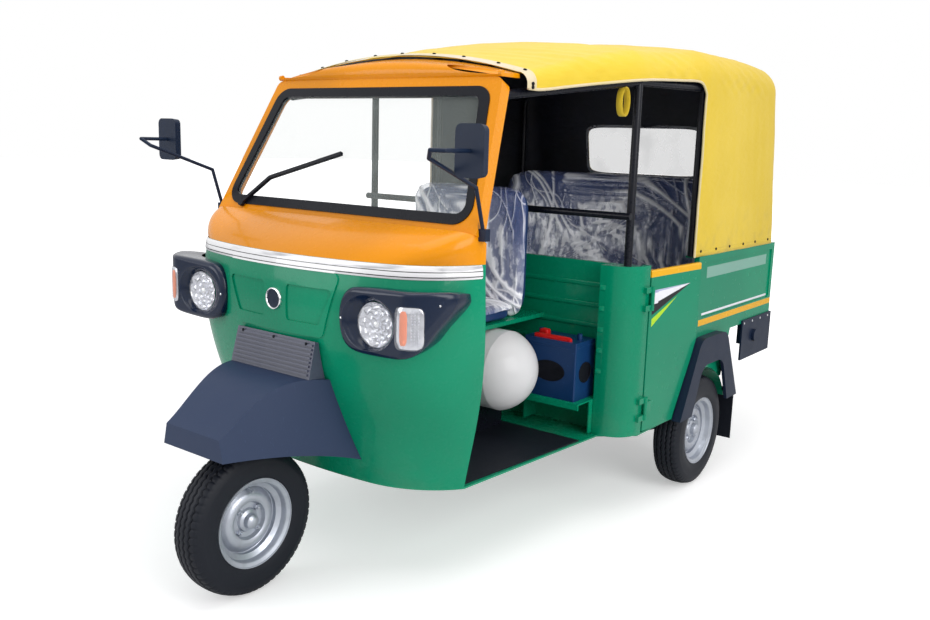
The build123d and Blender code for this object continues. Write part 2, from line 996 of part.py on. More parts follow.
# Floor, mats and chassis
with BuildPart() as floor_pan:
    nose, brow_half, brow, post, post_back = cab_plan_shares[0][1:]
    nose_y = cab_nose_y + nose * cab_depth
    brow_y = cab_nose_y + brow * cab_depth
    brow_x = brow_half * cab_half_width
    corner_x = post * cab_half_width
    corner_y = cab_nose_y + post_back * cab_depth
    wheel_front_y = wheelbase - liner_radius - liner_thickness - seat_gap
    with BuildSketch(Plane.XY.offset(cab_sill_z - floor_thickness)):
        with BuildLine():
            front_arc = ThreePointArc((-brow_x, brow_y), (0, nose_y), (brow_x, brow_y))
            TangentArc((brow_x, brow_y), (corner_x, corner_y), tangent=front_arc % 1)
            TangentArc((-brow_x, brow_y), (-corner_x, corner_y), tangent=(front_arc % 0) * -1)
            Polyline(
                (corner_x, corner_y),
                (sill_rear_half, sill_rear_y),
                (post_half, post_front_y + post_round),
                (post_half, wheel_front_y),
                (bench_half - overrun, wheel_front_y),
                (bench_half - overrun, floor_tail_y),
                (overrun - bench_half, floor_tail_y),
                (overrun - bench_half, wheel_front_y),
                (-post_half, wheel_front_y),
                (-post_half, post_front_y + post_round),
                (-sill_rear_half, sill_rear_y),
                (-corner_x, corner_y),
            )
        make_face()
    extrude(amount=floor_thickness)
save(floor_pan, "floor_pan")

with BuildPart() as floor_mat:
    mat_front_y = corner_y + cab_wall
    passenger_mat_front_y = partition_wall_y + partition_thickness + overrun
    passenger_mat_rear_y = bench_front_y - overrun
    passenger_mat_half = bench_half - 2 * overrun
    with BuildSketch(Plane.XY.offset(cab_sill_z + seat_gap)):
        with BuildLine():
            Polyline(
                (-corner_x + cab_wall, mat_front_y),
                (corner_x - cab_wall, mat_front_y),
                (sill_rear_half - cab_wall, sill_rear_y - cab_wall * 8),
                (cab_wall - sill_rear_half, sill_rear_y - cab_wall * 8),
                close=True,
            )
        make_face()
        with Locations((0, (passenger_mat_front_y + passenger_mat_rear_y) / 2)):
            Rectangle(2 * passenger_mat_half, passenger_mat_rear_y - passenger_mat_front_y)
    extrude(amount=mat_thickness)
save(floor_mat, "floor_mat")

rail_z = cab_sill_z - floor_thickness - rail_height
# Stations of the frame's cross members along the vehicle.
cross_member_shares = (0.0, 0.265, 0.567, 0.983)
rail_length = rail_tail_y - rail_front_y
with BuildPart() as chassis_frame:
    for side in (-1, 1):
        with BuildSketch(across(rail_front_y)):
            with Locations((side * rail_x, rail_z + rail_height / 2)):
                Rectangle(rail_width, rail_height)
                Rectangle(
                    rail_width - 2 * rail_wall, rail_height - 2 * rail_wall, mode=Mode.SUBTRACT
                )
        extrude(amount=-rail_length)
    for share in cross_member_shares:
        member_y = rail_front_y + rail_width / 2 + share * (rail_length - rail_width)
        with Locations((0, member_y, rail_z + rail_height / 2)):
            Box(2 * rail_x - rail_width, rail_width, rail_height * 3 / 4)
    for side in (-1, 1):
        with Locations((side * (rail_x + rail_width / 2), arm_pivot_y, arm_pivot_z)):
            Cylinder(
                pivot_tube_radius,
                arm_x - arm_thickness / 2 - rail_x - rail_width / 2 - seat_gap,
                rotation=(0, side * 90, 0),
                align=(Align.CENTER, Align.CENTER, Align.MIN),
            )
        with Locations((side * (rail_x - rail_width / 4), shock_y, rail_z + rail_height)):
            Box(
                rail_width / 2,
                rail_width,
                shock_head_z - rail_z - rail_height,
                align=(Align.CENTER, Align.CENTER, Align.MIN),
            )
    with Locations((0, shock_y, shock_head_z)):
        Cylinder(pivot_tube_radius, 2 * arm_x - spring_radius, rotation=(0, 90, 0))
save(chassis_frame, "chassis_frame")

# Partition behind the driver, with a round-cornered post at each end
with BuildPart() as partition:
    with BuildSketch(Plane.XY.offset(cab_sill_z)) as partition_plan:
        with BuildLine():
            Polyline(
                (-post_half, post_rear_y),
                (-post_half, post_front_y),
                (-post_inner_half, post_front_y),
                (-post_inner_half, partition_wall_y),
                (post_inner_half, partition_wall_y),
                (post_inner_half, post_front_y),
                (post_half, post_front_y),
                (post_half, post_rear_y),
                (post_half - partition_thickness, post_rear_y),
                (post_half - partition_thickness, partition_wall_y + partition_thickness),
                (partition_thickness - post_half, partition_wall_y + partition_thickness),
                (partition_thickness - post_half, post_rear_y),
                close=True,
            )
        make_face()
        outer_corners = partition_plan.vertices().group_by(Axis.Y)[0].sort_by(Axis.X)
        fillet([outer_corners[0], outer_corners[-1]], post_round)
    extrude(amount=partition_top_z - cab_sill_z)
    knuckle_rise = (hinge_barrel_length + post_knuckle_length) / 2 + running_gap
    for hinge_z in hinge_heights:
        for side in (-1, 1):
            with Locations((door_hinge_x, post_rear_y + door_gap / 2, hinge_z + side * knuckle_rise)):
                Cylinder(hinge_barrel_radius, post_knuckle_length)
                Box(
                    door_hinge_x - post_half + partition_thickness / 2,
                    hinge_leaf_length,
                    post_knuckle_length,
                    align=(Align.MAX, Align.MAX, Align.CENTER),
                )
save(partition, "partition")

# Driver's seat: a shelf on two legs, cushion and backrest
cradle_floor_z = cab_sill_z + mat_thickness + 2 * seat_gap
with BuildPart() as driver_seat_frame:
    with Locations((0, seat_front_y, seat_base_z)):
        Box(
            2 * seat_half,
            partition_wall_y - seat_front_y - seat_gap,
            seat_base_thickness,
            align=(Align.CENTER, Align.MIN, Align.MIN),
        )
    for side in (-1, 1):
        with BuildSketch(Plane.XY.offset(cradle_floor_z)):
            with Locations((side * (seat_half - seat_leg_inset), seat_front_y + seat_leg_radius)):
                Circle(seat_leg_radius)
        extrude(amount=seat_base_z - cradle_floor_z)
save(driver_seat_frame, "driver_seat_frame")

with BuildPart() as driver_cushion:
    cushion_foot_z = seat_base_z + seat_base_thickness + seat_gap
    cushion_rear_y = backrest_rear_y - backrest_thickness - seat_gap
    with Locations((0, (cushion_front_y + cushion_rear_y) / 2, cushion_foot_z)):
        Box(
            2 * seat_half,
            cushion_rear_y - cushion_front_y,
            cushion_thickness,
            align=(Align.CENTER, Align.CENTER, Align.MIN),
        )
    fillet(driver_cushion.edges().filter_by(Axis.Z), cushion_thickness / 2)
    fillet(driver_cushion.faces().sort_by(Axis.Z)[-1].edges(), cushion_thickness / 4)
save(driver_cushion, "driver_cushion")

with BuildPart() as driver_backrest:
    with BuildSketch(across(backrest_rear_y)):
        with Locations((0, (cushion_foot_z + backrest_top_z) / 2)):
            RectangleRounded(2 * seat_half, backrest_top_z - cushion_foot_z, backrest_thickness / 2)
    extrude(amount=backrest_thickness)
    fillet(driver_backrest.faces().sort_by(Axis.Y)[0].edges(), backrest_thickness / 5)
save(driver_backrest, "driver_backrest")

# Gas cylinder lying across the floor on two saddles
with BuildPart() as gas_cylinder:
    with BuildSketch(Plane.XY):
        with BuildLine():
            barrel_half = cylinder_half - cylinder_dome
            dome_radius = (cylinder_radius**2 + cylinder_dome**2) / (2 * cylinder_dome)
            dome_turn = asin(cylinder_radius / dome_radius) / 2
            dome_x = cylinder_half - dome_radius + dome_radius * cos(dome_turn)
            dome_y = dome_radius * sin(dome_turn)
            Line((-barrel_half, cylinder_radius), (barrel_half, cylinder_radius))
            ThreePointArc((barrel_half, cylinder_radius), (dome_x, dome_y), (cylinder_half, 0))
            ThreePointArc((-barrel_half, cylinder_radius), (-dome_x, dome_y), (-cylinder_half, 0))
            Line((-cylinder_half, 0), (cylinder_half, 0))
        make_face()
    revolve(axis=Axis.X)
gas_cylinder.part.position = (0, cylinder_y, cylinder_z)
save(gas_cylinder, "gas_cylinder")

with BuildPart() as cylinder_cradle:
    for side in (-1, 1):
        with Locations((side * cradle_x, cylinder_y, cradle_floor_z)):
            Box(
                cradle_width,
                1.5 * cylinder_radius,
                cylinder_z - cylinder_radius / 2 - cradle_floor_z,
                align=(Align.CENTER, Align.CENTER, Align.MIN),
            )
    with Locations((0, cylinder_y, cradle_floor_z)):
        Box(
            2 * cradle_x,
            cradle_width,
            cradle_width / 4,
            align=(Align.CENTER, Align.CENTER, Align.MIN),
        )
    with Locations((0, cylinder_y, cylinder_z)):
        Cylinder(
            cylinder_radius + seat_gap, 2 * cylinder_half, rotation=(0, 90, 0), mode=Mode.SUBTRACT
        )
save(cylinder_cradle, "cylinder_cradle")

# Battery on its folded tray beside the left post
with BuildPart() as battery_tray:
    tray_rear_y = partition_wall_y - seat_gap
    with Locations((tray_outer_x - tray_length / 2, (tray_front_y + tray_rear_y) / 2, tray_z)):
        Box(
            tray_length,
            tray_rear_y - tray_front_y,
            tray_thickness,
            align=(Align.CENTER, Align.CENTER, Align.MAX),
        )
    with Locations((tray_outer_x - tray_length / 2, tray_front_y, tray_z)):
        Box(
            tray_length,
            tray_thickness,
            tray_lip,
            align=(Align.CENTER, Align.MIN, Align.MAX),
        )
    for tray_end in (tray_outer_x - tray_length, tray_outer_x - tray_thickness):
        with Locations((tray_end, tray_rear_y, tray_z)):
            Box(
                tray_thickness,
                (tray_rear_y - tray_front_y) / 2,
                tray_z - cradle_floor_z,
                align=(Align.MIN, Align.MAX, Align.MAX),
            )
save(battery_tray, "battery_tray")

with BuildPart() as battery:
    battery_y = (tray_front_y + tray_rear_y) / 2
    with Locations((battery_outer_x - battery_length / 2, battery_y, tray_z + seat_gap)):
        Box(
            battery_length,
            battery_width,
            battery_height,
            align=(Align.CENTER, Align.CENTER, Align.MIN),
        )
    fillet(battery.edges().filter_by(Axis.Z), tray_thickness)
    with Locations((battery_outer_x - battery_length / 2, battery_y, tray_z + battery_height)):
        with GridLocations(battery_length * 3 / 4, battery_width / 2, 2, 1):
            Cylinder(tray_thickness * 2, tray_lip, align=(Align.CENTER, Align.CENTER, Align.MIN))
save(battery, "battery")


# Hood frame: posts, hoops and side rails of steel tube
def hoop(y, half, foot_z, shoulder_z, crown_z):
    """A tube bent over the vehicle from one side to the other."""
    with BuildPart() as bent:
        with BuildLine(across(y)) as path:
            FilletPolyline(
                (-half, foot_z),
                (-half, shoulder_z),
                (0, crown_z),
                (half, shoulder_z),
                (half, foot_z),
                radius=hoop_bend,
            )
        with BuildSketch(Plane(origin=path.line @ 0, z_dir=path.line % 0)):
            Circle(tube_radius)
        sweep(path=path.line)
    return bent.part


# Columns: station, half width, shoulder height, crown height.
hoop_table = [
    (pole_y, pole_x, hoop_shoulder_z, hoop_crown_z),
    (rear_post_y, rear_post_x, hoop_shoulder_z + tube_radius, hoop_crown_z + 2 * tube_radius),
    (tail_post_y, rear_post_x, hoop_shoulder_z - tube_radius, hoop_crown_z - tube_radius),
]
hood_foot_z = partition_top_z + seat_gap
with BuildPart() as hood_frame:
    for y, half, shoulder_z, crown_z in hoop_table:
        add(hoop(y, half, hood_foot_z, shoulder_z, crown_z))
    rail_front = windshield_plane.from_local_coords(
        Vector(windshield_head_half, windshield_height, -pillar_depth - tube_radius * 2 / 3)
    )
    for side in (-1, 1):
        rail_points = [
            (side * rail_front.X, rail_front.Y, rail_front.Z),
            (side * pole_x, pole_y, rail_head_z),
            (side * rear_post_x, rear_post_y, rail_head_z + tube_radius / 2),
            (side * rear_post_x, tail_post_y, rail_head_z + tube_radius / 2),
        ]
        for start, end in zip(rail_points, rail_points[1:]):
            add(tube(start, end, tube_radius))
save(hood_frame, "hood_frame")

with BuildPart() as grab_bar:
    bar_y = pole_y - tube_radius - grab_bar_radius - seat_gap
    with Locations((0, bar_y, grab_bar_z)):
        Cylinder(grab_bar_radius, 2 * pole_x + 2 * tube_radius, rotation=(0, 90, 0))
save(grab_bar, "grab_bar")

# Canopy: one skin lofted over the hoops, rounded at the tail
# Columns: station, half width, shoulder height, crown height, shoulder radius.
canopy_shares = [
    (0.000, 0.770, 0.715, 0.834, 0.055),
    (0.155, 0.860, 0.765, 0.905, 0.110),
    (0.290, 0.944, 0.790, 0.949, 0.134),
    (0.530, 0.990, 0.819, 0.988, 0.155),
    (0.765, 1.000, 0.821, 0.995, 0.162),
    (1.000, 1.000, 0.765, 0.950, 0.162),
]
canopy_length = canopy_tail_y - canopy_front_y
canopy_rise = canopy_height - canopy_foot_z

# The hood's tail wall leans forwards: its plane rises from the foot of the wall.
tail_rise = Vector(0, -canopy_tail_lean, canopy_rise)
tail_plane = Plane(
    origin=(0, canopy_tail_y, canopy_foot_z),
    x_dir=(-1, 0, 0),
    z_dir=Vector(-1, 0, 0).cross(tail_rise),
)


def canopy_form(inset):
    """The hood as a closed form, drawn in by an inset."""
    spill = overrun if inset > 0 else 0
    with BuildPart() as skin:
        sections = []
        for station, half, shoulder, crown, round_share in canopy_shares:
            half_width = half * canopy_half - inset
            foot_z = canopy_foot_z - spill
            shoulder_z = canopy_foot_z + shoulder * canopy_rise - inset
            corner = round_share * canopy_half
            slide = spill if station == 0 else 0
            with BuildSketch(across(canopy_front_y + station * canopy_length - slide)) as section:
                with BuildLine():
                    Line((-half_width, foot_z), (half_width, foot_z))
                    Line((half_width, foot_z), (half_width, shoulder_z))
                    TangentArc(
                        (half_width, shoulder_z),
                        (half_width - corner, shoulder_z + corner),
                        tangent=(0, 1),
                    )
                    ThreePointArc(
                        (half_width - corner, shoulder_z + corner),
                        (0, canopy_foot_z + crown * canopy_rise - inset),
                        (corner - half_width, shoulder_z + corner),
                    )
                    TangentArc(
                        (-half_width, shoulder_z),
                        (corner - half_width, shoulder_z + corner),
                        tangent=(0, 1),
                    )
                    Line((-half_width, shoulder_z), (-half_width, foot_z))
                make_face()
            sections.append(section.sketch)
        loft(sections)
    tail = canopy_tail_y - inset
    lean = canopy_tail_lean / canopy_rise
    with BuildPart() as form:
        add(skin.part)
        with BuildSketch(Plane.YZ.offset(-canopy_half - overrun)) as side_view:
            with BuildLine():
                Polyline(
                    (canopy_front_y - spill, canopy_foot_z - spill),
                    (tail + lean * spill, canopy_foot_z - spill),
                    (tail - lean * (canopy_rise - inset), canopy_height - inset),
                    (canopy_front_y - spill, canopy_height - inset),
                    close=True,
                )
            make_face()
            fillet(
                side_view.vertices().group_by(Axis.Y)[-1].sort_by(Axis.X)[-1],
                canopy_tail_round - inset,
            )
        extrude(amount=2 * canopy_half + 2 * overrun, mode=Mode.INTERSECT)
        with BuildSketch(Plane.XY.offset(canopy_foot_z - 2 * overrun)) as plan_view:
            with Locations((0, canopy_front_y - spill)):
                Rectangle(
                    2 * (canopy_half - inset),
                    tail - canopy_front_y + spill,
                    align=(Align.CENTER, Align.MIN),
                )
            fillet(plan_view.vertices().group_by(Axis.Y)[-1], canopy_corner_round - inset)
        extrude(amount=canopy_rise + 4 * overrun, mode=Mode.INTERSECT)
    return form.part


# The hood's lower side edge, seen from the side.
# Columns: station behind the hood's front edge as a share of the opening, height share.
valance_shares = [
    (-0.10, 0.705),
    (0.00, 0.702),
    (0.06, 0.700),
    (0.35, 0.745),
    (0.55, 0.772),
    (0.93, 0.795),
]
opening_length = opening_rear_y - canopy_front_y
with BuildPart() as canopy:
    add(canopy_form(0))
    add(canopy_form(canopy_wall), mode=Mode.SUBTRACT)
    with BuildSketch(Plane.YZ.offset(-canopy_half - overrun)):
        with BuildLine():
            Polyline(
                (canopy_front_y - overrun, canopy_foot_z - overrun),
                *[
                    (
                        canopy_front_y + station * opening_length,
                        canopy_foot_z + rise * canopy_rise,
                    )
                    for station, rise in valance_shares
                ],
                (opening_rear_y, canopy_foot_z + valance_shares[3][1] * canopy_rise),
                (opening_rear_y, canopy_foot_z - overrun),
                close=True,
            )
        make_face()
    extrude(amount=2 * canopy_half + 2 * overrun, mode=Mode.SUBTRACT)
    window_rise = rear_window_foot_z - canopy_foot_z + rear_window_height / 2
    with BuildSketch(tail_plane.offset(overrun)):
        with Locations((0, window_rise)):
            RectangleRounded(2 * rear_window_half, rear_window_height, rear_window_round)
    extrude(amount=-canopy_wall - 2 * overrun, mode=Mode.SUBTRACT)
save(canopy, "canopy")

with BuildPart() as rear_window:
    with BuildSketch(tail_plane.offset(-canopy_wall / 3)):
        with Locations((0, window_rise)):
            RectangleRounded(
                2 * (rear_window_half - seat_gap),
                rear_window_height - 2 * seat_gap,
                rear_window_round,
            )
    extrude(amount=-film_thickness)
save(rear_window, "rear_window")

# Rear side panels: pressed wall, ledge under the hood and the wheel house behind it
panel_top_z = canopy_foot_z - seat_gap
with BuildPart() as left_side:
    with BuildSketch(Plane.YZ.offset(body_half - body_wall)):
        with BuildLine():
            Polyline(
                (side_front_y, panel_top_z),
                (tail_y, panel_top_z),
                (tail_y, body_foot_z),
                (wheelbase + liner_radius, body_foot_z),
                (wheelbase + liner_radius * 3 / 4, axle_z + liner_radius * 3 / 4),
                (side_front_y, axle_z + liner_radius * 3 / 4),
                close=True,
            )
        make_face()
        with Locations((wheelbase, axle_z)):
            Circle(liner_radius, mode=Mode.SUBTRACT)
    extrude(amount=body_wall)
    with Locations((body_half - body_wall / 2, (side_front_y + tail_y) / 2, panel_top_z)):
        with Locations((-ledge_width / 2, 0, 0)):
            Box(
                ledge_width,
                tail_y - side_front_y,
                ledge_thickness,
                align=(Align.CENTER, Align.CENTER, Align.MAX),
            )
    with BuildSketch(Plane.YZ.offset(liner_inner_x)):
        with Locations((wheelbase, axle_z)):
            Circle(liner_radius + liner_thickness)
            Circle(liner_radius, mode=Mode.SUBTRACT)
            with Locations((0, arch_foot_z - axle_z)):
                Rectangle(
                    3 * liner_radius, 3 * liner_radius, align=(Align.CENTER, Align.MAX), mode=Mode.SUBTRACT
                )
    extrude(amount=body_half - liner_inner_x)
    with BuildSketch(Plane.YZ.offset(body_half)):
        with Locations(
            (
                (side_front_y + tail_y + recess_margin) / 2,
                (panel_top_z + body_foot_z) / 2 + recess_margin,
            )
        ):
            RectangleRounded(
                tail_y - side_front_y - 3 * recess_margin,
                panel_top_z - body_foot_z - 4 * recess_margin,
                recess_margin / 3,
            )
    extrude(amount=-recess_depth, mode=Mode.SUBTRACT)
save(left_side, "side_panel_left")
with BuildPart() as right_side:
    add(mirror(left_side.part, about=Plane.YZ, mode=Mode.PRIVATE))
save(right_side, "side_panel_right")

# Tail panel with a pressed field and cooling louvres
with BuildPart() as tail_panel:
    panel_half = body_half - body_wall - seat_gap
    with BuildSketch(across(tail_y)):
        with BuildLine():
            Polyline(
                (-panel_half, body_foot_z),
                (panel_half, body_foot_z),
                (panel_half, panel_top_z - ledge_thickness - seat_gap),
                (-panel_half, panel_top_z - ledge_thickness - seat_gap),
                close=True,
            )
        make_face()
    extrude(amount=body_wall)
    with BuildSketch(across(tail_y)):
        with Locations((0, (body_foot_z + panel_top_z) / 2)):
            RectangleRounded(
                2 * tail_field_half, panel_top_z - body_foot_z - 3 * recess_margin, recess_margin / 2
            )
    extrude(amount=recess_depth, mode=Mode.SUBTRACT)
    with BuildSketch(across(tail_y)):
        with Locations((0, body_foot_z + 3 * recess_margin)):
            with GridLocations(louvre_length * 5 / 4, louvre_pitch, louvre_columns, louvre_rows):
                RectangleRounded(louvre_length, louvre_pitch / 2, louvre_pitch / 5)
        with Locations((0, plate_bolt_z)):
            with GridLocations(plate_bolt_pitch, 0, 2, 1):
                Circle(plate_bolt_radius)
    extrude(amount=body_wall, mode=Mode.SUBTRACT)
save(tail_panel, "tail_panel")


def arch_outline(foot_half, head_half, top_z, corner):
    """The wheel arch seen from the side: straight legs and a flat top."""
    with BuildSketch() as outline:
        with BuildLine():
            Polyline(
                (arch_center_y - foot_half, arch_foot_z),
                (arch_center_y + foot_half, arch_foot_z),
                (arch_center_y + head_half, top_z),
                (arch_center_y - head_half, top_z),
                close=True,
            )
        make_face()
        fillet(outline.vertices().group_by(Axis.Y)[-1], corner)
    return outline.sketch


# Wheel arch trims: a moulded band with a flange back to the body
with BuildPart() as left_trim:
    with BuildSketch(Plane.YZ.offset(body_half + seat_gap)):
        add(arch_outline(arch_foot_half, arch_head_half, arch_top_z, arch_round))
    extrude(amount=arch_reach - body_half - seat_gap)
    with BuildSketch(Plane.YZ.offset(body_half)):
        add(
            arch_outline(
                arch_foot_half - arch_flange,
                arch_head_half - arch_flange / 2,
                arch_top_z - arch_flange,
                arch_round,
            )
        )
    extrude(amount=arch_reach - body_half - arch_skin, mode=Mode.SUBTRACT)
    with BuildSketch(Plane.YZ.offset(body_half)):
        add(
            arch_outline(
                arch_foot_half - arch_leg,
                arch_head_half - arch_leg / 4,
                arch_top_z - arch_band,
                arch_round,
            )
        )
    extrude(amount=arch_reach, mode=Mode.SUBTRACT)
with BuildPart() as arch_trims:
    add(left_trim.part)
    mirror(about=Plane.YZ)
save(arch_trims, "arch_trims")

with BuildPart() as mudflaps:
    flap_top_z = arch_foot_z + flap_width / 6
    flap_y = arch_center_y + arch_foot_half + seat_gap
    for side in (-1, 1):
        with Locations((side * (arch_reach - arch_skin - flap_width / 2), flap_y, flap_foot_z)):
            Box(
                flap_width,
                flap_thickness,
                flap_top_z - flap_foot_z,
                align=(Align.CENTER, Align.MIN, Align.MIN),
            )
save(mudflaps, "mudflaps")

# Black corner guards under the rear body, each wrapping on to the tail
with BuildPart() as corner_guards:
    for side in (-1, 1):
        with BuildSketch(Plane.XY.offset(guard_plate_foot_z)):
            with BuildLine():
                Polyline(
                    (side * (body_half + seat_gap), guard_plate_front_y),
                    (side * (body_half + seat_gap + guard_plate_thickness), guard_plate_front_y),
                    (
                        side * (body_half + seat_gap + guard_plate_thickness),
                        tail_y + seat_gap + guard_plate_thickness,
                    ),
                    (
                        side * (body_half - guard_plate_wrap),
                        tail_y + seat_gap + guard_plate_thickness,
                    ),
                    (side * (body_half - guard_plate_wrap), tail_y + seat_gap),
                    (side * (body_half + seat_gap), tail_y + seat_gap),
                    close=True,
                )
            make_face()
        extrude(amount=body_foot_z + recess_margin / 2 - guard_plate_foot_z)
    with BuildSketch(Plane.YZ.offset(body_half + guard_plate_thickness)):
        with Locations((fuel_cap_y, fuel_cap_z)):
            Circle(fuel_cap_radius)
    extrude(amount=fuel_cap_radius / 2)
save(corner_guards, "corner_guards")

with BuildPart() as tail_lamps:
    with BuildSketch(across(tail_y + seat_gap)):
        with GridLocations(2 * tail_lamp_x, 0, 2, 1):
            with Locations((0, tail_lamp_z + tail_lamp_height / 2)):
                RectangleRounded(tail_lamp_width, tail_lamp_height, tail_lamp_width / 5)
    extrude(amount=-tail_lamp_depth)
save(tail_lamps, "tail_lamps")

# Passenger bench: sheet base over the engine, cushion and reclined backrest
with BuildPart() as bench_base:
    with Locations((0, bench_front_y, cab_sill_z)):
        Box(
            2 * (bench_half - overrun),
            bench_rear_y - bench_front_y,
            bench_top_z - cab_sill_z,
            align=(Align.CENTER, Align.MIN, Align.MIN),
        )
    with Locations((0, bench_front_y + bench_sheet, cab_sill_z)):
        Box(
            2 * (bench_half - overrun - bench_sheet),
            bench_rear_y - bench_front_y - 2 * bench_sheet,
            bench_top_z - cab_sill_z - bench_sheet,
            align=(Align.CENTER, Align.MIN, Align.MIN),
            mode=Mode.SUBTRACT,
        )
save(bench_base, "bench_base")

with BuildPart() as bench_cushion:
    bench_seat_z = bench_top_z + seat_gap
    bench_seat_rear_y = bench_back_rear_y - bench_back_thickness - bench_setback
    with Locations((0, bench_front_y, bench_seat_z)):
        Box(
            2 * bench_half,
            bench_seat_rear_y - bench_front_y,
            bench_cushion_thickness,
            align=(Align.CENTER, Align.MIN, Align.MIN),
        )
    fillet(bench_cushion.faces().sort_by(Axis.Z)[-1].edges(), bench_cushion_thickness / 4)
save(bench_cushion, "bench_cushion")

with BuildPart() as bench_backrest:
    with BuildSketch(Plane.YZ.offset(-bench_half)):
        with BuildLine():
            Polyline(
                (bench_seat_rear_y + seat_gap, bench_seat_z),
                (bench_seat_rear_y + seat_gap + bench_back_thickness, bench_seat_z),
                (bench_back_rear_y, bench_back_top_z),
                (bench_back_rear_y - bench_back_thickness, bench_back_top_z),
                close=True,
            )
        make_face()
    extrude(amount=2 * bench_half)
    fillet(bench_backrest.edges().filter_by(Axis.X), bench_back_thickness / 5)
save(bench_backrest, "bench_backrest")

# Engine and gearbox as one block between the rails, with a drive shaft to each rear wheel
with BuildPart() as engine_block:
    with Locations((0, engine_y, engine_foot_z)):
        Box(engine_width, engine_length, engine_height, align=(Align.CENTER, Align.CENTER, Align.MIN))
    fillet(engine_block.edges().filter_by(Axis.X), engine_height / 10)
    with Locations((0, wheelbase, axle_z)):
        Cylinder(
            drive_shaft_radius,
            2 * (arm_x - arm_thickness / 2 - seat_gap),
            rotation=(0, 90, 0),
        )
save(engine_block, "engine_block")

# Rear trailing arms with stub axles, backing plates, springs and dampers
with BuildPart() as left_arm:
    with BuildSketch(Plane.YZ.offset(arm_x - arm_thickness / 2)):
        with Locations((arm_pivot_y, arm_pivot_z), (wheelbase, axle_z)):
            Circle(arm_boss)
        make_hull()
    extrude(amount=arm_thickness)
    with BuildSketch(Plane.YZ.offset(arm_x + arm_thickness / 2)):
        with Locations((wheelbase, axle_z)):
            Circle(arm_boss)
    arm_outer_x = arm_x + arm_thickness / 2
    extrude(amount=track / 2 - arm_outer_x - drum_width + rim_disc_offset - running_gap * 4)
    with BuildSketch(Plane.YZ.offset(arm_x + arm_thickness / 2)):
        with Locations((wheelbase, axle_z)):
            Circle(stub_radius)
    extrude(amount=track / 2 + hub_dome_reach / 4 - arm_x - arm_thickness / 2)
    with BuildSketch(Plane.XY.offset(axle_z + arm_boss / 2)):
        with Locations((arm_x, shock_y)):
            Circle(shock_rod_radius)
    extrude(amount=shock_head_z - pivot_tube_radius - axle_z - arm_boss / 2 - seat_gap)
    spring_length = shock_head_z - shock_foot_z - 2 * pivot_tube_radius
    spring_pitch = spring_length / spring_turns
    for turn in range(spring_turns):
        with BuildSketch(Plane.XY.offset(shock_foot_z + turn * spring_pitch)):
            with Locations((arm_x, shock_y)):
                Circle(spring_radius)
        extrude(amount=spring_pitch / 2)
with BuildPart() as rear_suspension:
    add(left_arm.part)
    mirror(about=Plane.YZ)
save(rear_suspension, "rear_suspension")


# Half door on the left and the fixed panel of the same form on the right
def half_door(front_y):
    """A pressed side panel that widens to the rear and is cut back along the wheel arch."""
    with BuildPart() as panel:
        with BuildSketch(Plane.XY.offset(cab_sill_z)):
            with BuildLine():
                Polyline(
                    (door_front_x, front_y),
                    (door_rear_x, door_rear_y),
                    (door_rear_x - door_thickness, door_rear_y),
                    (door_front_x - door_thickness, front_y),
                    close=True,
                )
            make_face()
        extrude(amount=door_top_z - cab_sill_z)
        with BuildSketch(Plane.YZ.offset(body_half - door_thickness * 3)) as side_view:
            with BuildLine():
                Polyline(
                    (front_y, door_foot_z),
                    (arch_center_y - arch_foot_half - door_gap * 2, door_foot_z),
                    (
                        arch_center_y - arch_head_half - door_gap * 2 - arch_round / 2,
                        arch_top_z - arch_round,
                    ),
                    (door_rear_y, arch_top_z),
                    (door_rear_y, door_top_z),
                    (front_y, door_top_z),
                    close=True,
                )
            make_face()
        extrude(amount=door_thickness * 6, mode=Mode.INTERSECT)
        fillet(panel.edges().group_by(Axis.Z)[-1].filter_by(Axis.Y, tolerance=10), door_thickness / 3)
    return panel


with BuildPart() as passenger_door:
    add(half_door(door_front_y).part)
    for hinge_z in hinge_heights:
        with Locations((door_hinge_x, post_rear_y + door_gap / 2, hinge_z)):
            Cylinder(hinge_barrel_radius, hinge_barrel_length)
        with Locations((door_hinge_x, post_rear_y + door_gap / 2, hinge_z)):
            Box(
                hinge_leaf_thickness,
                hinge_leaf_length,
                hinge_barrel_length,
                align=(Align.MAX, Align.MIN, Align.CENTER),
            )
save(passenger_door, "passenger_door")

with BuildPart() as fixed_half_panel:
    add(mirror(half_door(post_rear_y + seat_gap).part, about=Plane.YZ, mode=Mode.PRIVATE))
save(fixed_half_panel, "fixed_half_panel")

# Dashboard shelf under the windshield
with BuildPart() as dashboard:
    shelf_plane = windshield_plane.offset(-pillar_depth - seat_gap)
    with BuildSketch(shelf_plane):
        with Locations((0, -frame_foot_depth)):
            Rectangle(2 * dash_half, frame_foot_depth * 3 / 2, align=(Align.CENTER, Align.MIN))
    extrude(amount=-dash_depth)
save(dashboard, "dashboard")

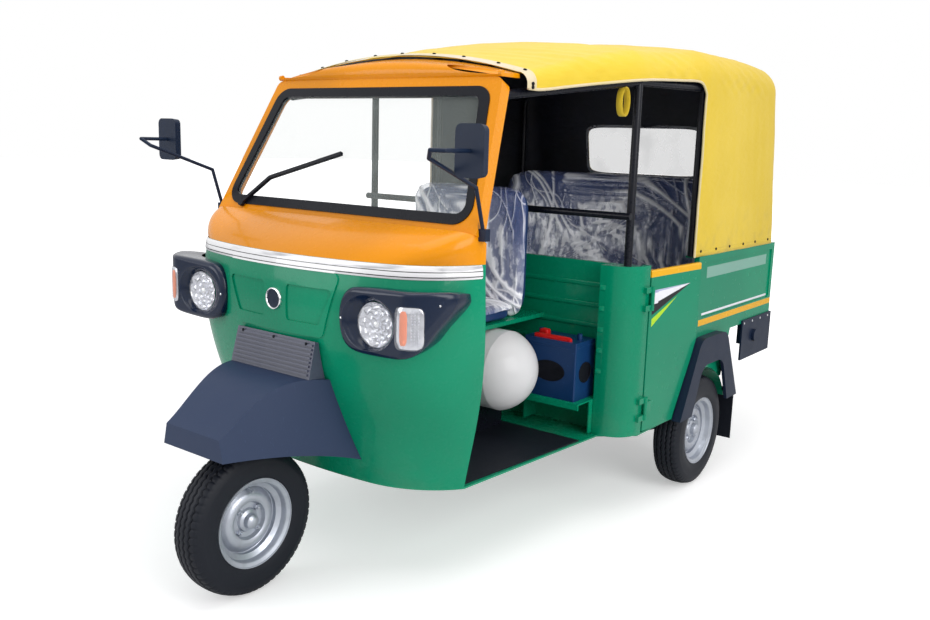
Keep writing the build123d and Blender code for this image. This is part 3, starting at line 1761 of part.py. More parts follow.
# Mirrors on bent arms from the foot of each pillar
with BuildPart() as left_mirror:
    # The arm rises beside the pillar, runs forwards and loops back to the head.
    arm_top_z = mirror_foot_z + mirror_rise
    loop_x = mirror_foot_x + mirror_loop
    arm_stations = [
        (mirror_foot_x, mirror_foot_y, mirror_foot_z),
        (mirror_foot_x, mirror_foot_y - mirror_loop, arm_top_z),
        (loop_x - mirror_loop / 2, mirror_foot_y - mirror_reach, mirror_z - mirror_loop / 2),
        (loop_x, mirror_foot_y - mirror_reach - mirror_loop / 2, mirror_z),
        (mirror_x, mirror_foot_y - mirror_reach, mirror_z),
        (mirror_x, mirror_y, mirror_z),
    ]
    for start, end in zip(arm_stations, arm_stations[1:]):
        add(tube(start, end, mirror_arm_radius))
    for joint in arm_stations[1:-1]:
        with Locations(joint):
            Sphere(mirror_arm_radius)
    with BuildSketch(across(mirror_y - mirror_depth / 2)):
        with Locations((mirror_x, mirror_z)):
            RectangleRounded(mirror_width, mirror_height, mirror_width / 5)
    extrude(amount=-mirror_depth, taper=6)
    with Locations((mirror_foot_x, mirror_foot_y, mirror_foot_z)):
        Box(mirror_arm_radius * 5, mirror_arm_radius * 4, mirror_arm_radius * 6)
    add(cowl_form(-seat_gap, 0), mode=Mode.SUBTRACT)
    with BuildSketch(windshield_plane):
        add(
            windshield_outline(
                pillar_width + seat_gap,
                frame_foot_depth,
                frame_head_depth,
                pillar_width,
                pillar_foot_round,
            )
        )
    extrude(amount=-pillar_depth, mode=Mode.SUBTRACT)
with BuildPart() as mirrors:
    add(left_mirror.part)
    mirror(about=Plane.YZ)
save(mirrors, "mirrors")

# Wiper lying across the glass
with BuildPart() as wiper:
    wiper_plane = windshield_plane.offset(rubber_thickness / 4 + wiper_radius + seat_gap)
    with BuildSketch(wiper_plane.offset(-wiper_radius)):
        with Locations((wiper_pivot_x, 0)):
            Circle(2 * wiper_radius)
    extrude(amount=2 * wiper_radius)
    with BuildSketch(wiper_plane.offset(-wiper_radius)):
        with BuildLine() as wiper_arm:
            Polyline(
                (wiper_pivot_x, 0),
                (wiper_pivot_x + wiper_length / 4, wiper_length / 4),
                (wiper_pivot_x + wiper_length, wiper_length / 2),
            )
        trace(wiper_arm.line, line_width=2 * wiper_radius)
    extrude(amount=2 * wiper_radius)
save(wiper, "wiper")
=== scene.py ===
# %% [markdown]
# # A passenger auto rickshaw
# A three-wheeled taxi: a steel cab, green below the waist and orange above it, with black
# mouldings, a yellow canvas hood over two benches, and small steel wheels. The construction
# arrives as a fixed frame of named pieces. This lesson dresses that frame: it gives every
# carried piece its finish, and models what cloth, rubber and thin trim look like up close.

import bmesh
import bpy
import numpy as np
from mathutils import Matrix, Vector
from mathutils.bvhtree import BVHTree
from mathutils.kdtree import KDTree


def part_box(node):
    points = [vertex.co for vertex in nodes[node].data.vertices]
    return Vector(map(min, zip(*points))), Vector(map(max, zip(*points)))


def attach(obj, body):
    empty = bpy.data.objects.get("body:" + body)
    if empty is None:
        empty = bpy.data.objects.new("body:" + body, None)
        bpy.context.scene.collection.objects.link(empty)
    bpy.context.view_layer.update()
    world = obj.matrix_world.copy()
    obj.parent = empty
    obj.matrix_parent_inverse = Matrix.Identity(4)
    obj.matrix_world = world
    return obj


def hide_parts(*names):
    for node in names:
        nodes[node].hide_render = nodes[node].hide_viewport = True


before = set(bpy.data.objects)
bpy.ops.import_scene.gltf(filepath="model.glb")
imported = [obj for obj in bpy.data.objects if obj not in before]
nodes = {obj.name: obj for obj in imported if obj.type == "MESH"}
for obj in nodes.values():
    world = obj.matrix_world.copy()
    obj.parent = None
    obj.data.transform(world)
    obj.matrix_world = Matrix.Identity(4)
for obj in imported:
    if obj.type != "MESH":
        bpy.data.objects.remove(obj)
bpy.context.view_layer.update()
tyre_low, tyre_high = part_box("front_tyre")
axle_y = (tyre_low.y + tyre_high.y) / 2
axle_z = (tyre_low.z + tyre_high.z) / 2


def from_axle(points):
    """Points measured behind the front axle, moved into the frame: only Y shifts."""
    return np.asarray(points, float) + np.array([0.0, axle_y, 0.0])


def placed(name, data):
    """A new object in the scene."""
    made = bpy.data.objects.new(name, data)
    bpy.context.scene.collection.objects.link(made)
    return made


print("pieces in the frame:", len(nodes), "front axle at", round(axle_y, 4), round(axle_z, 4))

# %% [markdown]
# ## The camera
# The picture was taken from the left front corner, a little below the roof. The camera's turn,
# its tilt downwards and a slight roll are written as angles, and its place is in metres from the
# front axle, so it follows the vehicle.

# %% The camera
view_turn = np.radians(37.47)
view_tilt = np.radians(10.539)
view_roll = np.radians(1.706)
view_place = from_axle([2.2086, -1.7628, 1.4474])

level = np.array([np.cos(view_turn), np.sin(view_turn), 0.0])
look = np.array([-level[1], level[0], 0.0]) * np.cos(view_tilt)
look[2] = -np.sin(view_tilt)
rise = np.cross(level, look)
across = np.cos(view_roll) * level + np.sin(view_roll) * rise
upward = -np.sin(view_roll) * level + np.cos(view_roll) * rise
camera = placed("camera", bpy.data.cameras.new("camera"))
to_world = np.column_stack([across, upward, -look, view_place])
camera.matrix_world = Matrix([*to_world.tolist(), (0, 0, 0, 1)])
camera.data.lens = 35.43
camera.data.sensor_width = 36
bpy.context.scene.camera = camera
print("camera stands", round(float(np.linalg.norm(view_place)), 2), "m from the middle")


# %% [markdown]
# ## A small language for finishes
# A shader graph is arithmetic, so it reads best as arithmetic. `Signal` wraps one output socket
# and answers to + - *, also with a plain number on the left. `Graph` adds any node by its type,
# its settings first and then its inputs, and `Finish` is the graph of one material.

# %% A small language for finishes
class Signal:
    """One output socket of a graph, with Python's operators."""

    def __init__(self, graph, socket):
        self.graph = graph
        self.socket = socket

    def math(self, operation, other=0.0, turned=False):
        """This value and another through one Math node."""
        first, second = (other, self) if turned else (self, other)
        return self.graph.node("ShaderNodeMath", {0: first, 1: second}, operation=operation)

    def __add__(self, other):
        return self.math("ADD", other)

    def __radd__(self, other):
        return self.math("ADD", other, True)

    def __sub__(self, other):
        return self.math("SUBTRACT", other)

    def __rsub__(self, other):
        return self.math("SUBTRACT", other, True)

    def __mul__(self, other):
        return self.math("MULTIPLY", other)

    def __rmul__(self, other):
        return self.math("MULTIPLY", other, True)

    def ramp(self, low, high):
        """0 below low, 1 above high, smooth between."""
        ends = {"Value": self, "From Min": low, "From Max": high}
        return self.graph.node("ShaderNodeMapRange", ends, interpolation_type="SMOOTHSTEP")

    def band(self, low, high, edge):
        """1 between low and high, falling to 0 over an edge on either side."""
        return self.ramp(low - edge, low) * (1 - self.ramp(high, high + edge))


class Graph:
    """The nodes of a material or of the world."""

    def __init__(self, owner):
        owner.use_nodes = True
        self.tree = owner.node_tree

    def node(self, kind, inputs=(), output=0, **settings):
        """Any node: settings are set first, then each input gets a value or a link."""
        made = self.tree.nodes.new(kind)
        for key, value in settings.items():
            setattr(made, key, value)
        for key, value in dict(inputs).items():
            self.feed(made.inputs[key], value)
        return Signal(self, made.outputs[output])

    def feed(self, socket, value):
        """Puts a number, a colour or a link into a socket."""
        if isinstance(value, Signal):
            self.tree.links.new(value.socket, socket)
        else:
            socket.default_value = value


class Finish(Graph):
    """One material, with short names for the nodes that most finishes share."""

    def __init__(self, name):
        self.material = bpy.data.materials.new(name)
        super().__init__(self.material)

    def place(self):
        """Object coordinates in metres, the same as the frame's."""
        return self.node("ShaderNodeTexCoord", output="Object")

    def axis(self, letter):
        """One coordinate as a number."""
        return self.node("ShaderNodeSeparateXYZ", {0: self.place()}, letter)

    def noise(self, scale, detail=2.0, stretch=None):
        """Noise from 0 to 1, sized as bumps in a metre, and stretched along each axis if asked."""
        vector = self.place()
        if stretch is not None:
            vector = self.node("ShaderNodeMapping", {"Vector": vector, "Scale": stretch})
        ends = {"Vector": vector, "Scale": scale, "Detail": detail}
        return self.node("ShaderNodeTexNoise", ends)

    def blend(self, share, first, second):
        """A colour between two, by a share."""
        return self.node("ShaderNodeMix", {0: share, 6: first, 7: second}, 2, data_type="RGBA")

    def bump(self, height, strength, depth):
        """A normal bent by a height map, depth in metres."""
        ends = {"Height": height, "Strength": strength, "Distance": depth}
        return self.node("ShaderNodeBump", ends)

    def set(self, **sockets):
        """Shader inputs by name, with underscores for spaces."""
        shader = self.tree.nodes["Principled BSDF"]
        for key, value in sockets.items():
            self.feed(shader.inputs[key.replace("_", " ")], value)
        return self.material


def colour(red, green, blue):
    """A colour with full alpha."""
    return (red, green, blue, 1.0)


def tinted(base, scale, lift=0.0):
    """A colour whose red, green and blue are scaled and then lifted."""
    return (*(np.asarray(base[:3]) * scale + lift).tolist(), 1.0)


print("a finish is ready to be written as", Finish.set.__name__)

# %% [markdown]
# ## Light
# A studio's soft box overhead and two broad lights. The world is white wherever the camera, a
# reflection or glass looks at it, and gentler where it lights the object, so that paint keeps
# the colour it is given.

# %% Light
lighting_strength = 0.50
lamp_aim = Vector((0, 0, 0.7))

world = bpy.data.worlds.new("studio")
bpy.context.scene.world = world
sky = Graph(world)
camera_ray, glass_ray, glossy_ray = (
    sky.node("ShaderNodeLightPath", output=ray)
    for ray in ("Is Camera Ray", "Is Transmission Ray", "Is Glossy Ray")
)
seen = camera_ray.math("MAXIMUM", glass_ray).math("MAXIMUM", glossy_ray)
strength = sky.node(
    "ShaderNodeMapRange", {"Value": seen, "To Min": lighting_strength, "To Max": 1.0}
)
background = world.node_tree.nodes["Background"]
sky.feed(background.inputs["Color"], (1, 1, 1, 1))
sky.feed(background.inputs["Strength"], strength)
bpy.context.scene.view_settings.view_transform = "Standard"

# Columns: name, place, size across, power, colour.
lamps = [
    ("soft_box_above", (0.6, -0.6, 4.6), 4.0, 95, (1.0, 0.99, 0.97)),
    ("broad_light_left", (4.6, -1.2, 2.6), 3.0, 120, (1.0, 0.99, 0.98)),
    ("broad_light_front", (-2.6, -5.0, 2.4), 3.0, 80, (0.97, 0.98, 1.0)),
]
for lamp_name, place, size, power, lamp_colour in lamps:
    light = bpy.data.lights.new(lamp_name, "AREA")
    light.size = size
    light.energy = power
    light.color = lamp_colour
    lamp = placed(lamp_name, light)
    lamp.location = place
    lamp.rotation_euler = (lamp_aim - lamp.location).to_track_quat("-Z", "Y").to_euler()
print("lamps:", len(lamps))

# %% [markdown]
# ## Enamel
# The cab is stove-enamelled steel: an even colour under a clear gloss, very slightly wavy where
# the sheet was pressed, and a little dustier near the road. The waves also carry painted shade:
# the colour is a little deeper in their dips. All colours share one recipe. The dust is a mask on
# height, broken by noise, that changes the colour and dulls the gloss.

# %% Enamel
green = colour(0.001, 0.270, 0.140)
orange = colour(0.800, 0.285, 0.002)
road_dust = colour(0.20, 0.17, 0.13)


def enamel(name, base, gloss=0.22, dust_top=0.55, wave_shade=None, stripes=None):
    """Gloss paint on pressed sheet: stripes are pairs of mask and colour, laid over the base.

    The wave shade is painted shade: a deeper colour in the dips of the sheet's waves.
    """
    f = Finish(name)
    height = f.axis("Z")
    waves = f.noise(2.2, 1.0)
    peel = f.noise(420.0, 2.0)
    dust = (1 - height.ramp(0.15, dust_top)) * f.noise(9.0, 4.0).ramp(0.42, 0.75) * 0.22
    # Painted shade: where the waves dip, the colour turns to the deeper wave shade.
    tint = f.blend(waves.ramp(0.3, 0.7), wave_shade or tinted(base, 0.82), base)
    grime = f.noise(35.0, 3.0)
    grime = 0.08 * grime if stripes else 0.10 * grime.ramp(0.2, 0.9)
    if stripes:
        for mask, stripe_colour in stripes(f.axis("Y") - axle_y, height):
            tint = f.blend(mask, tint, stripe_colour)
    return f.set(
        Base_Color=f.blend(dust, tint, road_dust),
        Roughness=gloss + grime + dust * 0.5,
        Normal=f.bump(waves * 0.9 + peel * 0.004, 0.35, 0.010),
        Coat_Weight=0.22,
        Coat_Roughness=0.05,
        Specular_IOR_Level=0.14,
    )


green_enamel = enamel("green_enamel", green)
orange_enamel = enamel("orange_enamel", orange)
yellow_enamel = enamel("yellow_stripe", colour(0.80, 0.42, 0.01))
white_enamel = enamel("white_enamel", colour(0.80, 0.80, 0.82), gloss=0.3)
print("enamels: 4")


# %% [markdown]
# ## Black mouldings
# The mudguard, lamp pods, arches and corner guards are moulded from one blue-black plastic. It
# has a fine grain and a soft sheen, and paler scuffs where hands and stones rub it.

# %% Black mouldings
def moulding(name, base, gloss=0.34, grain=900.0, shine=0.22):
    """Moulded plastic with a fine grain."""
    f = Finish(name)
    scuffs = f.noise(60.0, 5.0, (1.0, 4.0, 1.0)).ramp(0.62, 0.80)
    lighter = tinted(base, (2.4, 2.4, 2.2), (0.01, 0.01, 0.015))
    return f.set(
        Base_Color=f.blend(scuffs * 0.35, base, lighter),
        Roughness=gloss + 0.14 * f.noise(14.0, 3.0) + 0.12 * scuffs,
        Normal=f.bump(f.noise(grain, 2.0), 0.12, 0.001),
        Specular_IOR_Level=shine,
    )


black_plastic = moulding("black_plastic", colour(0.006, 0.014, 0.036))
black_gloss = moulding("black_gloss", colour(0.002, 0.010, 0.034), gloss=0.12, shine=0.40)
mudguard_plastic = moulding("mudguard_plastic", colour(0.024, 0.040, 0.088), gloss=0.40)
plate_plastic = moulding("plate_plastic", colour(0.060, 0.066, 0.105), gloss=0.28, shine=0.5)
matte_black = moulding("matte_black", colour(0.006, 0.007, 0.011), gloss=0.5, shine=0.12)
battery_plastic = moulding("battery_plastic", colour(0.006, 0.035, 0.12), gloss=0.25)
red_plastic = moulding("red_plastic", colour(0.62, 0.01, 0.01), gloss=0.3)
amber_plastic = moulding("amber_plastic", colour(0.80, 0.24, 0.12), gloss=0.25)
rubber = moulding("rubber", colour(0.008, 0.010, 0.016), gloss=0.42, grain=300.0)
seal_rubber = moulding("seal_rubber", colour(0.004, 0.005, 0.009), gloss=0.22, shine=0.20)
print("mouldings: 10")


# %% [markdown]
# ## Metals
# Wheels are sprayed silver, the engine is cast and dull, tubes are black, and bright trim is
# polished. Each is the same recipe with another roughness: metal is told by its reflections, so
# what varies is how blurred they are, with a fine grain and a little grime in patches.

# %% Metals
def metal(name, base, metallic=0.9, gloss=0.3, shine=0.5):
    """Painted, polished or cast metal."""
    f = Finish(name)
    grain = f.noise(120.0, 3.0)
    stain = f.noise(18.0, 5.0).ramp(0.45, 0.8)
    return f.set(
        Base_Color=f.blend(stain * 0.5, base, tinted(base, 0.55)),
        Metallic=metallic,
        Roughness=gloss + 0.12 * grain + 0.15 * stain,
        Normal=f.bump(grain, 0.08, 0.001),
        Specular_IOR_Level=shine,
    )


def chrome_finish():
    """A vacuum-coated reflector: nearly a mirror, with a faint mottle."""
    f = Finish("reflector_chrome")
    return f.set(
        Base_Color=f.blend(f.noise(60.0, 3.0), colour(0.85, 0.86, 0.90), colour(0.45, 0.46, 0.52)),
        Metallic=0.95,
        Roughness=0.08 + 0.10 * f.noise(90.0, 2.0),
        Normal=f.bump(f.noise(180.0, 1.0), 0.2, 0.001),
    )


wheel_silver = metal("wheel_silver", colour(0.46, 0.49, 0.55), 0.75, 0.30)
bright_metal = metal("bright_metal", colour(0.85, 0.86, 0.88), 1.0, 0.10)
cast_metal = metal("cast_metal", colour(0.30, 0.31, 0.32), 0.7, 0.5)
black_steel = metal("black_steel", colour(0.006, 0.007, 0.012), 0.0, 0.22, shine=0.22)
reflector_chrome = chrome_finish()
print("metals: 5")


# %% [markdown]
# ## Glass and clear parts
# Clear sheets are told by what they reflect. Each is a nearly see-through shader with a sharp
# gloss. The rear window is cloudy film instead, which lets light in but no picture.

# %% Glass and clear parts
def clear(name, base, see_through, gloss=0.03, haze=0.03):
    """A clear sheet: alpha lets the view through and the gloss stays."""
    f = Finish(name)
    smears = f.noise(7.0, 4.0).ramp(0.45, 0.8)
    return f.set(
        Base_Color=base,
        Alpha=(1 - see_through) + haze * smears,
        Roughness=gloss + 0.08 * smears,
        Specular_IOR_Level=0.8,
    )


clear_glass = clear("clear_glass", colour(0.75, 0.85, 0.82), 0.93)
lens_glass = clear("lens_glass", colour(0.90, 0.92, 0.95), 0.88)
cloudy_film = clear("cloudy_film", colour(0.80, 0.80, 0.88), 0.70, 0.25, 0.15)
print("clear finishes: 3")

# %% [markdown]
# ## First dress
# Every carried piece gets its finish from one table, so nothing is left in plain grey. Pieces
# that need more than a finish are replaced further down.

# %% First dress
dress = {
    green_enamel: "cab_lower_shell partition passenger_door fixed_half_panel side_panel_left"
    " side_panel_right tail_panel battery_tray driver_seat_frame bench_base floor_pan"
    " steering_head",
    orange_enamel: "cab_cowl windshield_frame cab_roof",
    black_plastic: "arch_trims corner_guards mirrors dashboard handlebar",
    black_steel: "chassis_frame rear_suspension steering_fork front_shock hood_frame grab_bar"
    " cylinder_cradle wiper",
    black_gloss: "headlamp_pods",
    mudguard_plastic: "front_mudguard",
    plate_plastic: "ribbed_plate",
    seal_rubber: "windshield_rubber",
    rubber: "mudflaps floor_mat front_tyre rear_left_tyre rear_right_tyre",
    wheel_silver: "front_rim rear_left_rim rear_right_rim",
    bright_metal: "nose_cap",
    yellow_enamel: "canopy",
    battery_plastic: "battery driver_cushion driver_backrest bench_cushion bench_backrest",
    clear_glass: "windshield_glass",
    lens_glass: "headlamps",
    cloudy_film: "rear_window",
    white_enamel: "gas_cylinder",
    cast_metal: "engine_block",
    red_plastic: "tail_lamps",
}
for finish, names in dress.items():
    for node_name in names.split():
        nodes[node_name].data.materials.clear()
        nodes[node_name].data.materials.append(finish)
print("dressed", sum(len(names.split()) for names in dress.values()), "of", len(nodes))


# %% [markdown]
# ## Surfaces from grids
# Every new piece below is a grid of points worked out with numpy: rows run one way over the
# surface and columns the other. One function joins neighbouring points into faces, closes seams
# and poles, and turns the faces outwards.

# %% Surfaces from grids
def grid_faces(rows, columns, wrap_rows, wrap_columns):
    """Four neighbours make a face, and a wrapped direction joins its last line to its first."""
    row = np.arange(rows if wrap_rows else rows - 1)[:, None]
    column = np.arange(columns if wrap_columns else columns - 1)[None, :]
    here = row * columns
    below = (row + 1) % rows * columns
    beside = (column + 1) % columns
    corners = [here + column, here + beside, below + beside, below + column]
    return np.stack(corners, axis=-1).reshape(-1, 4)


def piece(name, grids, finish, body="root", crease=40.0, outside_of=None):
    """One object from grids of (points, wrap rows, wrap columns), riding on a body."""
    vertices = np.concatenate([points.reshape(-1, 3) for points, _, _ in grids])
    faces = []
    first = 0
    for points, wrap_rows, wrap_columns in grids:
        rows, columns = points.shape[:2]
        faces.append(grid_faces(rows, columns, wrap_rows, wrap_columns) + first)
        first += rows * columns
    mesh = bpy.data.meshes.new(name)
    mesh.from_pydata(vertices.tolist(), [], np.concatenate(faces).tolist())
    shell = bmesh.new()
    shell.from_mesh(mesh)
    bmesh.ops.remove_doubles(shell, verts=shell.verts, dist=2e-5)
    bmesh.ops.recalc_face_normals(shell, faces=shell.faces)
    if outside_of is not None:
        heart = Vector(outside_of)
        facing = sum(
            face.normal.dot(face.calc_center_median() - heart) * face.calc_area()
            for face in shell.faces
        )
        if facing < 0:
            bmesh.ops.reverse_faces(shell, faces=shell.faces)
    shell.to_mesh(mesh)
    shell.free()
    smooth_faces(mesh)
    mesh.set_sharp_from_angle(angle=np.radians(crease))
    mesh.materials.append(finish)
    made = placed(name, mesh)
    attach(made, body)
    return made


def smooth_faces(mesh):
    """Shades all faces of a mesh as one curved surface."""
    mesh.polygons.foreach_set("use_smooth", np.ones(len(mesh.polygons), bool))


def vertex_rows(mesh, what="co"):
    """The places or the normals of a mesh's vertices, one row each."""
    values = np.empty(len(mesh.vertices) * 3)
    mesh.vertices.foreach_get(what, values)
    return values.reshape(-1, 3)


def turns(count):
    """Angles evenly round a full turn; the last stops short of the first."""
    return np.linspace(0, 2 * np.pi, count, endpoint=False)


def circle(angles):
    """Directions in a plane, one for each angle."""
    return np.stack([np.cos(angles), np.sin(angles)], axis=1)


def unit(ways):
    """The same directions with a length of 1."""
    return ways / np.linalg.norm(ways, axis=-1, keepdims=True)


def lathe(profile, sides, center, axis="X"):
    """Pairs of (along, radius) turned about X or Y: each pair becomes a ring of points."""
    along, radius = np.asarray(profile, float).T[:, :, None]
    angle = turns(sides)
    ring = np.stack([along + 0 * angle, radius * np.cos(angle), radius * np.sin(angle)], axis=-1)
    order = {"X": [0, 1, 2], "Y": [2, 0, 1]}[axis]
    return ring[..., order] + np.asarray(center, float), False, True


def flowing(points, count):
    """A smooth line through points: cubic blends of four neighbours, evenly spaced."""
    given = np.asarray(points, float)
    padded = np.vstack([2 * given[0] - given[1], given, 2 * given[-1] - given[-2]])
    place = np.linspace(0, len(given) - 1, count * 8)
    start = np.minimum(place.astype(int), len(given) - 2)
    share = (place - start)[:, None]
    before, first, second, after = (padded[start + step] for step in range(4))
    line = 0.5 * (
        2 * first
        + (second - before) * share
        + (2 * before - 5 * first + 4 * second - after) * share**2
        + (3 * first - before - 3 * second + after) * share**3
    )
    walked = np.append(0, np.cumsum(np.linalg.norm(np.diff(line, axis=0), axis=1)))
    even = np.linspace(0, walked[-1], count)
    return np.stack([np.interp(even, walked, line[:, k]) for k in range(line.shape[1])], axis=1)


def rod(path, radius, sides=10):
    """A round bar: a ring of points is carried along a path, square to it, with closed ends."""
    path = np.asarray(path, float)
    along = unit(np.gradient(path, axis=0))
    helper = np.eye(3)[np.argmin(np.abs(along).max(axis=0))]
    side = unit(np.cross(along, helper))[:, None]
    over = np.cross(side, along[:, None])
    angle = turns(sides)[None, :, None]
    rings = path[:, None] + radius * (np.cos(angle) * side + np.sin(angle) * over)
    first, last = (np.repeat(end[:, None], sides, axis=1) for end in (path[:1], path[-1:]))
    return np.concatenate([first, rings, last]), False, True


# Columns of a small round head: share of the radius, share of the height.
head_levels = [(1.0, -0.4), (1.0, 0.45), (0.7, 0.9), (0.0, 1.0)]


def domes(places, ways, radius, height, sides=10):
    """Many small round heads: three rings and a pole, each turned to face its own way."""
    places = np.asarray(places, float)
    ways = unit(np.broadcast_to(np.asarray(ways, float), places.shape))
    helper = np.where(np.abs(ways[:, 2:3]) > 0.9, [[1.0, 0.0, 0.0]], [[0.0, 0.0, 1.0]])
    side = unit(np.cross(ways, helper))
    over = np.cross(side, ways)
    turn_x, turn_y = circle(turns(sides)).T[:, :, None]
    grids = []
    for place, way, across_way, over_way in zip(places, ways, side, over):
        ring = turn_x * across_way + turn_y * over_way
        rings = [place + radius * wide * ring + height * up * way for wide, up in head_levels]
        grids.append((np.stack(rings), False, True))
    return grids


def ripple(points, size, count, seed):
    """A gentle random height from -1 to 1: waves of about one size in random directions."""
    dice = np.random.default_rng(seed)
    ways = dice.normal(size=(3, count))
    ways *= 2 * np.pi / size / np.linalg.norm(ways, axis=0)
    ways *= dice.uniform(0.6, 1.6, count)
    waves = np.sin(points @ ways + dice.uniform(0, 2 * np.pi, count))
    return waves.sum(axis=-1) / np.sqrt(count) / 1.6


def smooth_step(low, high, value):
    """0 below low, 1 above high, an S between."""
    share = np.clip((value - low) / (high - low), 0, 1)
    return share * share * (3 - 2 * share)


print("the smallest grid gives", len(grid_faces(2, 2, False, False)), "face")

# %% [markdown]
# ## Tyres
# A road tyre is a ring with a rounded section. Its tread is cut by four zigzag grooves with short
# slits at the shoulders, and its walls carry a few raised rings. One grid makes it all: the rows
# follow the section and the columns go round, and the grooves are subtracted from the radius.

# %% Tyres
tread_half = 0.0475
tread_edge = 0.2305
tread_top = 0.2398
wall_line = [(0.0420, 0.1287), (0.0505, 0.1400), (0.0590, 0.1660), (0.0598, 0.1900)]
wall_line += [(0.0560, 0.2130), (tread_half, tread_edge)]
groove_places = (-0.031, -0.0105, 0.0105, 0.031)
groove_depth = 0.0065
slit_depth = 0.0035
slit_start = 0.0375
zigzag_reach = 0.0026
wall_rings = (0.150, 0.156, 0.204)
zigzags = 58
around = 348


def tyre(center):
    """A tyre about the X axis: tread, walls and bead as one closed ring."""
    wall = flowing(wall_line, 20)
    crown = np.linspace(tread_half, -tread_half, 60)[1:-1]
    fall = tread_top - (tread_top - tread_edge) * np.abs(crown / tread_half) ** 2.6
    tread = np.stack([crown, fall], axis=1)
    section = np.concatenate([wall, tread, wall[::-1] * [-1, 1]])
    turn = turns(around)
    place, radius = section.T[:, :, None] + 0 * turn
    phase = turn * zigzags / (2 * np.pi)
    zigzag = zigzag_reach * (4 * np.abs(phase % 1 - 0.5) - 1)
    cut = np.zeros_like(place)
    for groove in groove_places:
        away = np.abs(place - groove - zigzag)
        cut = np.maximum(cut, groove_depth * (1 - smooth_step(0.0016, 0.0031, away)))
    slit = (np.abs(place) > slit_start) * (radius > 0.222) * (np.cos(2 * np.pi * phase) > 0.55)
    cut = np.maximum(cut, slit_depth * slit)
    cut = np.where(radius > 0.219, cut, 0)
    swell = sum(np.exp(-(((radius - at) / 0.0022) ** 2)) for at in wall_rings)
    place = place + np.sign(place) * 0.0011 * swell * (np.abs(place) > 0.045)
    radius = radius - cut
    points = np.stack([place, radius * np.cos(turn), radius * np.sin(turn)], axis=-1)
    return points + np.asarray(center, float), True, True


# Columns: name, middle, body, the side that the disc faces.
rear_x = 0.654
rear_y = axle_y + 1.885
wheel_table = [
    ("front", (0, axle_y, axle_z), "front_wheel", 1),
    ("rear_left", (rear_x, rear_y, axle_z), "rear_wheel_left", 1),
    ("rear_right", (-rear_x, rear_y, axle_z), "rear_wheel_right", -1),
]
for wheel_name, center, body, side in wheel_table:
    rolled = piece(f"{wheel_name}_tread_and_walls", [tyre(center)], rubber, body, 60)
    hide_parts(f"{wheel_name}_tyre")
print("tyre faces each:", len(rolled.data.polygons))

# %% [markdown]
# ## Wheel rims
# The rim is pressed from sheet and sprayed silver: a rolled lip on both sides of a deep well, and
# a dished disc that carries a domed hub cap and four nuts. A profile turned about the axle gives
# the sheet with its real thickness, and the nuts are six-sided turnings.

# %% Wheel rims
disc_face = [
    (0.0480, 0.0000), (0.0472, 0.0090), (0.0440, 0.0170), (0.0390, 0.0225), (0.0230, 0.0250),
    (0.0180, 0.0350), (0.0105, 0.0395), (0.0105, 0.0560), (0.0150, 0.0590), (0.0235, 0.0620),
    (0.0268, 0.0680), (0.0272, 0.0760), (0.0245, 0.0860), (0.0190, 0.0940), (0.0060, 0.1030),
    (0.0035, 0.1080), (0.0060, 0.1130), (0.0200, 0.1235),
]
rim_lip = [
    (0.0360, 0.1262), (0.0480, 0.1300), (0.0510, 0.1370), (0.0528, 0.1415), (0.0555, 0.1425),
    (0.0560, 0.1445), (0.0530, 0.1452), (0.0500, 0.1415), (0.0480, 0.1340), (0.0450, 0.1284),
    (0.0300, 0.1276), (0.0190, 0.1100),
]
disc_back = [
    (-0.0270, 0.1215), (-0.0170, 0.1050), (-0.0040, 0.1045), (0.0140, 0.0915),
    (0.0212, 0.0800), (0.0205, 0.0680), (0.0060, 0.0610), (0.0040, 0.0835),
    (-0.0460, 0.0840), (-0.0480, 0.0820), (-0.0480, 0.0136), (0.0230, 0.0136),
    (0.0230, 0.0000),
]
rim_line = disc_face + rim_lip + [(-x, radius) for x, radius in rim_lip[::-1]] + disc_back
nut_line = [(0.008, 0.0), (0.008, 0.0092), (0.019, 0.0092), (0.0215, 0.0070), (0.0215, 0.0)]
stud_line = [(0.020, 0.0), (0.020, 0.0046), (0.0275, 0.0046), (0.0285, 0.0036), (0.0285, 0.0)]
nut_circle = 0.048


def rim(center, side):
    """Rim and disc as one closed turning, with four nuts and a valve."""
    center = np.asarray(center)
    grids = [lathe(np.array(rim_line) * [side, 1], 120, center)]
    for angle in np.pi / 4 + np.arange(4) * np.pi / 2:
        seat = center + [0.0, nut_circle * np.cos(angle), nut_circle * np.sin(angle)]
        grids.append(lathe(np.array(nut_line) * [side, 1], 6, seat))
        grids.append(lathe(np.array(stud_line) * [side, 1], 12, seat))
    valve_foot = center + [side * 0.006, 0.0, 0.110]
    valve_head = valve_foot + [side * 0.036, 0.0, -0.010]
    grids.append(rod([valve_foot, (valve_foot + valve_head) / 2, valve_head], 0.0042))
    return grids


for wheel_name, center, body, side in wheel_table:
    turned = piece(f"{wheel_name}_rim_and_nuts", rim(center, side), wheel_silver, body, 32)
    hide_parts(f"{wheel_name}_rim")
print("rim faces each:", len(turned.data.polygons))

# %% [markdown]
# ## The hood's canvas
# The hood is one coated canvas sewn to a rounded box and pulled over three bows. It hangs a
# little between them and is creased where a bow lifts it. Each cut across it is a straight side,
# a round shoulder and a shallow crown, so a point is found from two numbers: how far along the
# vehicle, and how far up and over. The tail closes by drawing the same cut inwards round an edge.

# %% The hood's canvas
hood_front = 0.7003
hood_tail = 2.660
hood_foot = 1.005
hood_rise = 0.867
hood_half = 0.708
tail_lean = 0.150 / hood_rise
opening_rear = 1.722
# Columns: station, half width, shoulder height, crown height, shoulder radius, all as shares.
hood_shares = [
    (0.000, 0.770, 0.715, 0.834, 0.055),
    (0.155, 0.860, 0.765, 0.905, 0.110),
    (0.290, 0.944, 0.790, 0.949, 0.134),
    (0.530, 0.990, 0.819, 0.988, 0.155),
    (0.765, 1.000, 0.821, 0.995, 0.162),
    (1.000, 1.000, 0.765, 0.950, 0.162),
]
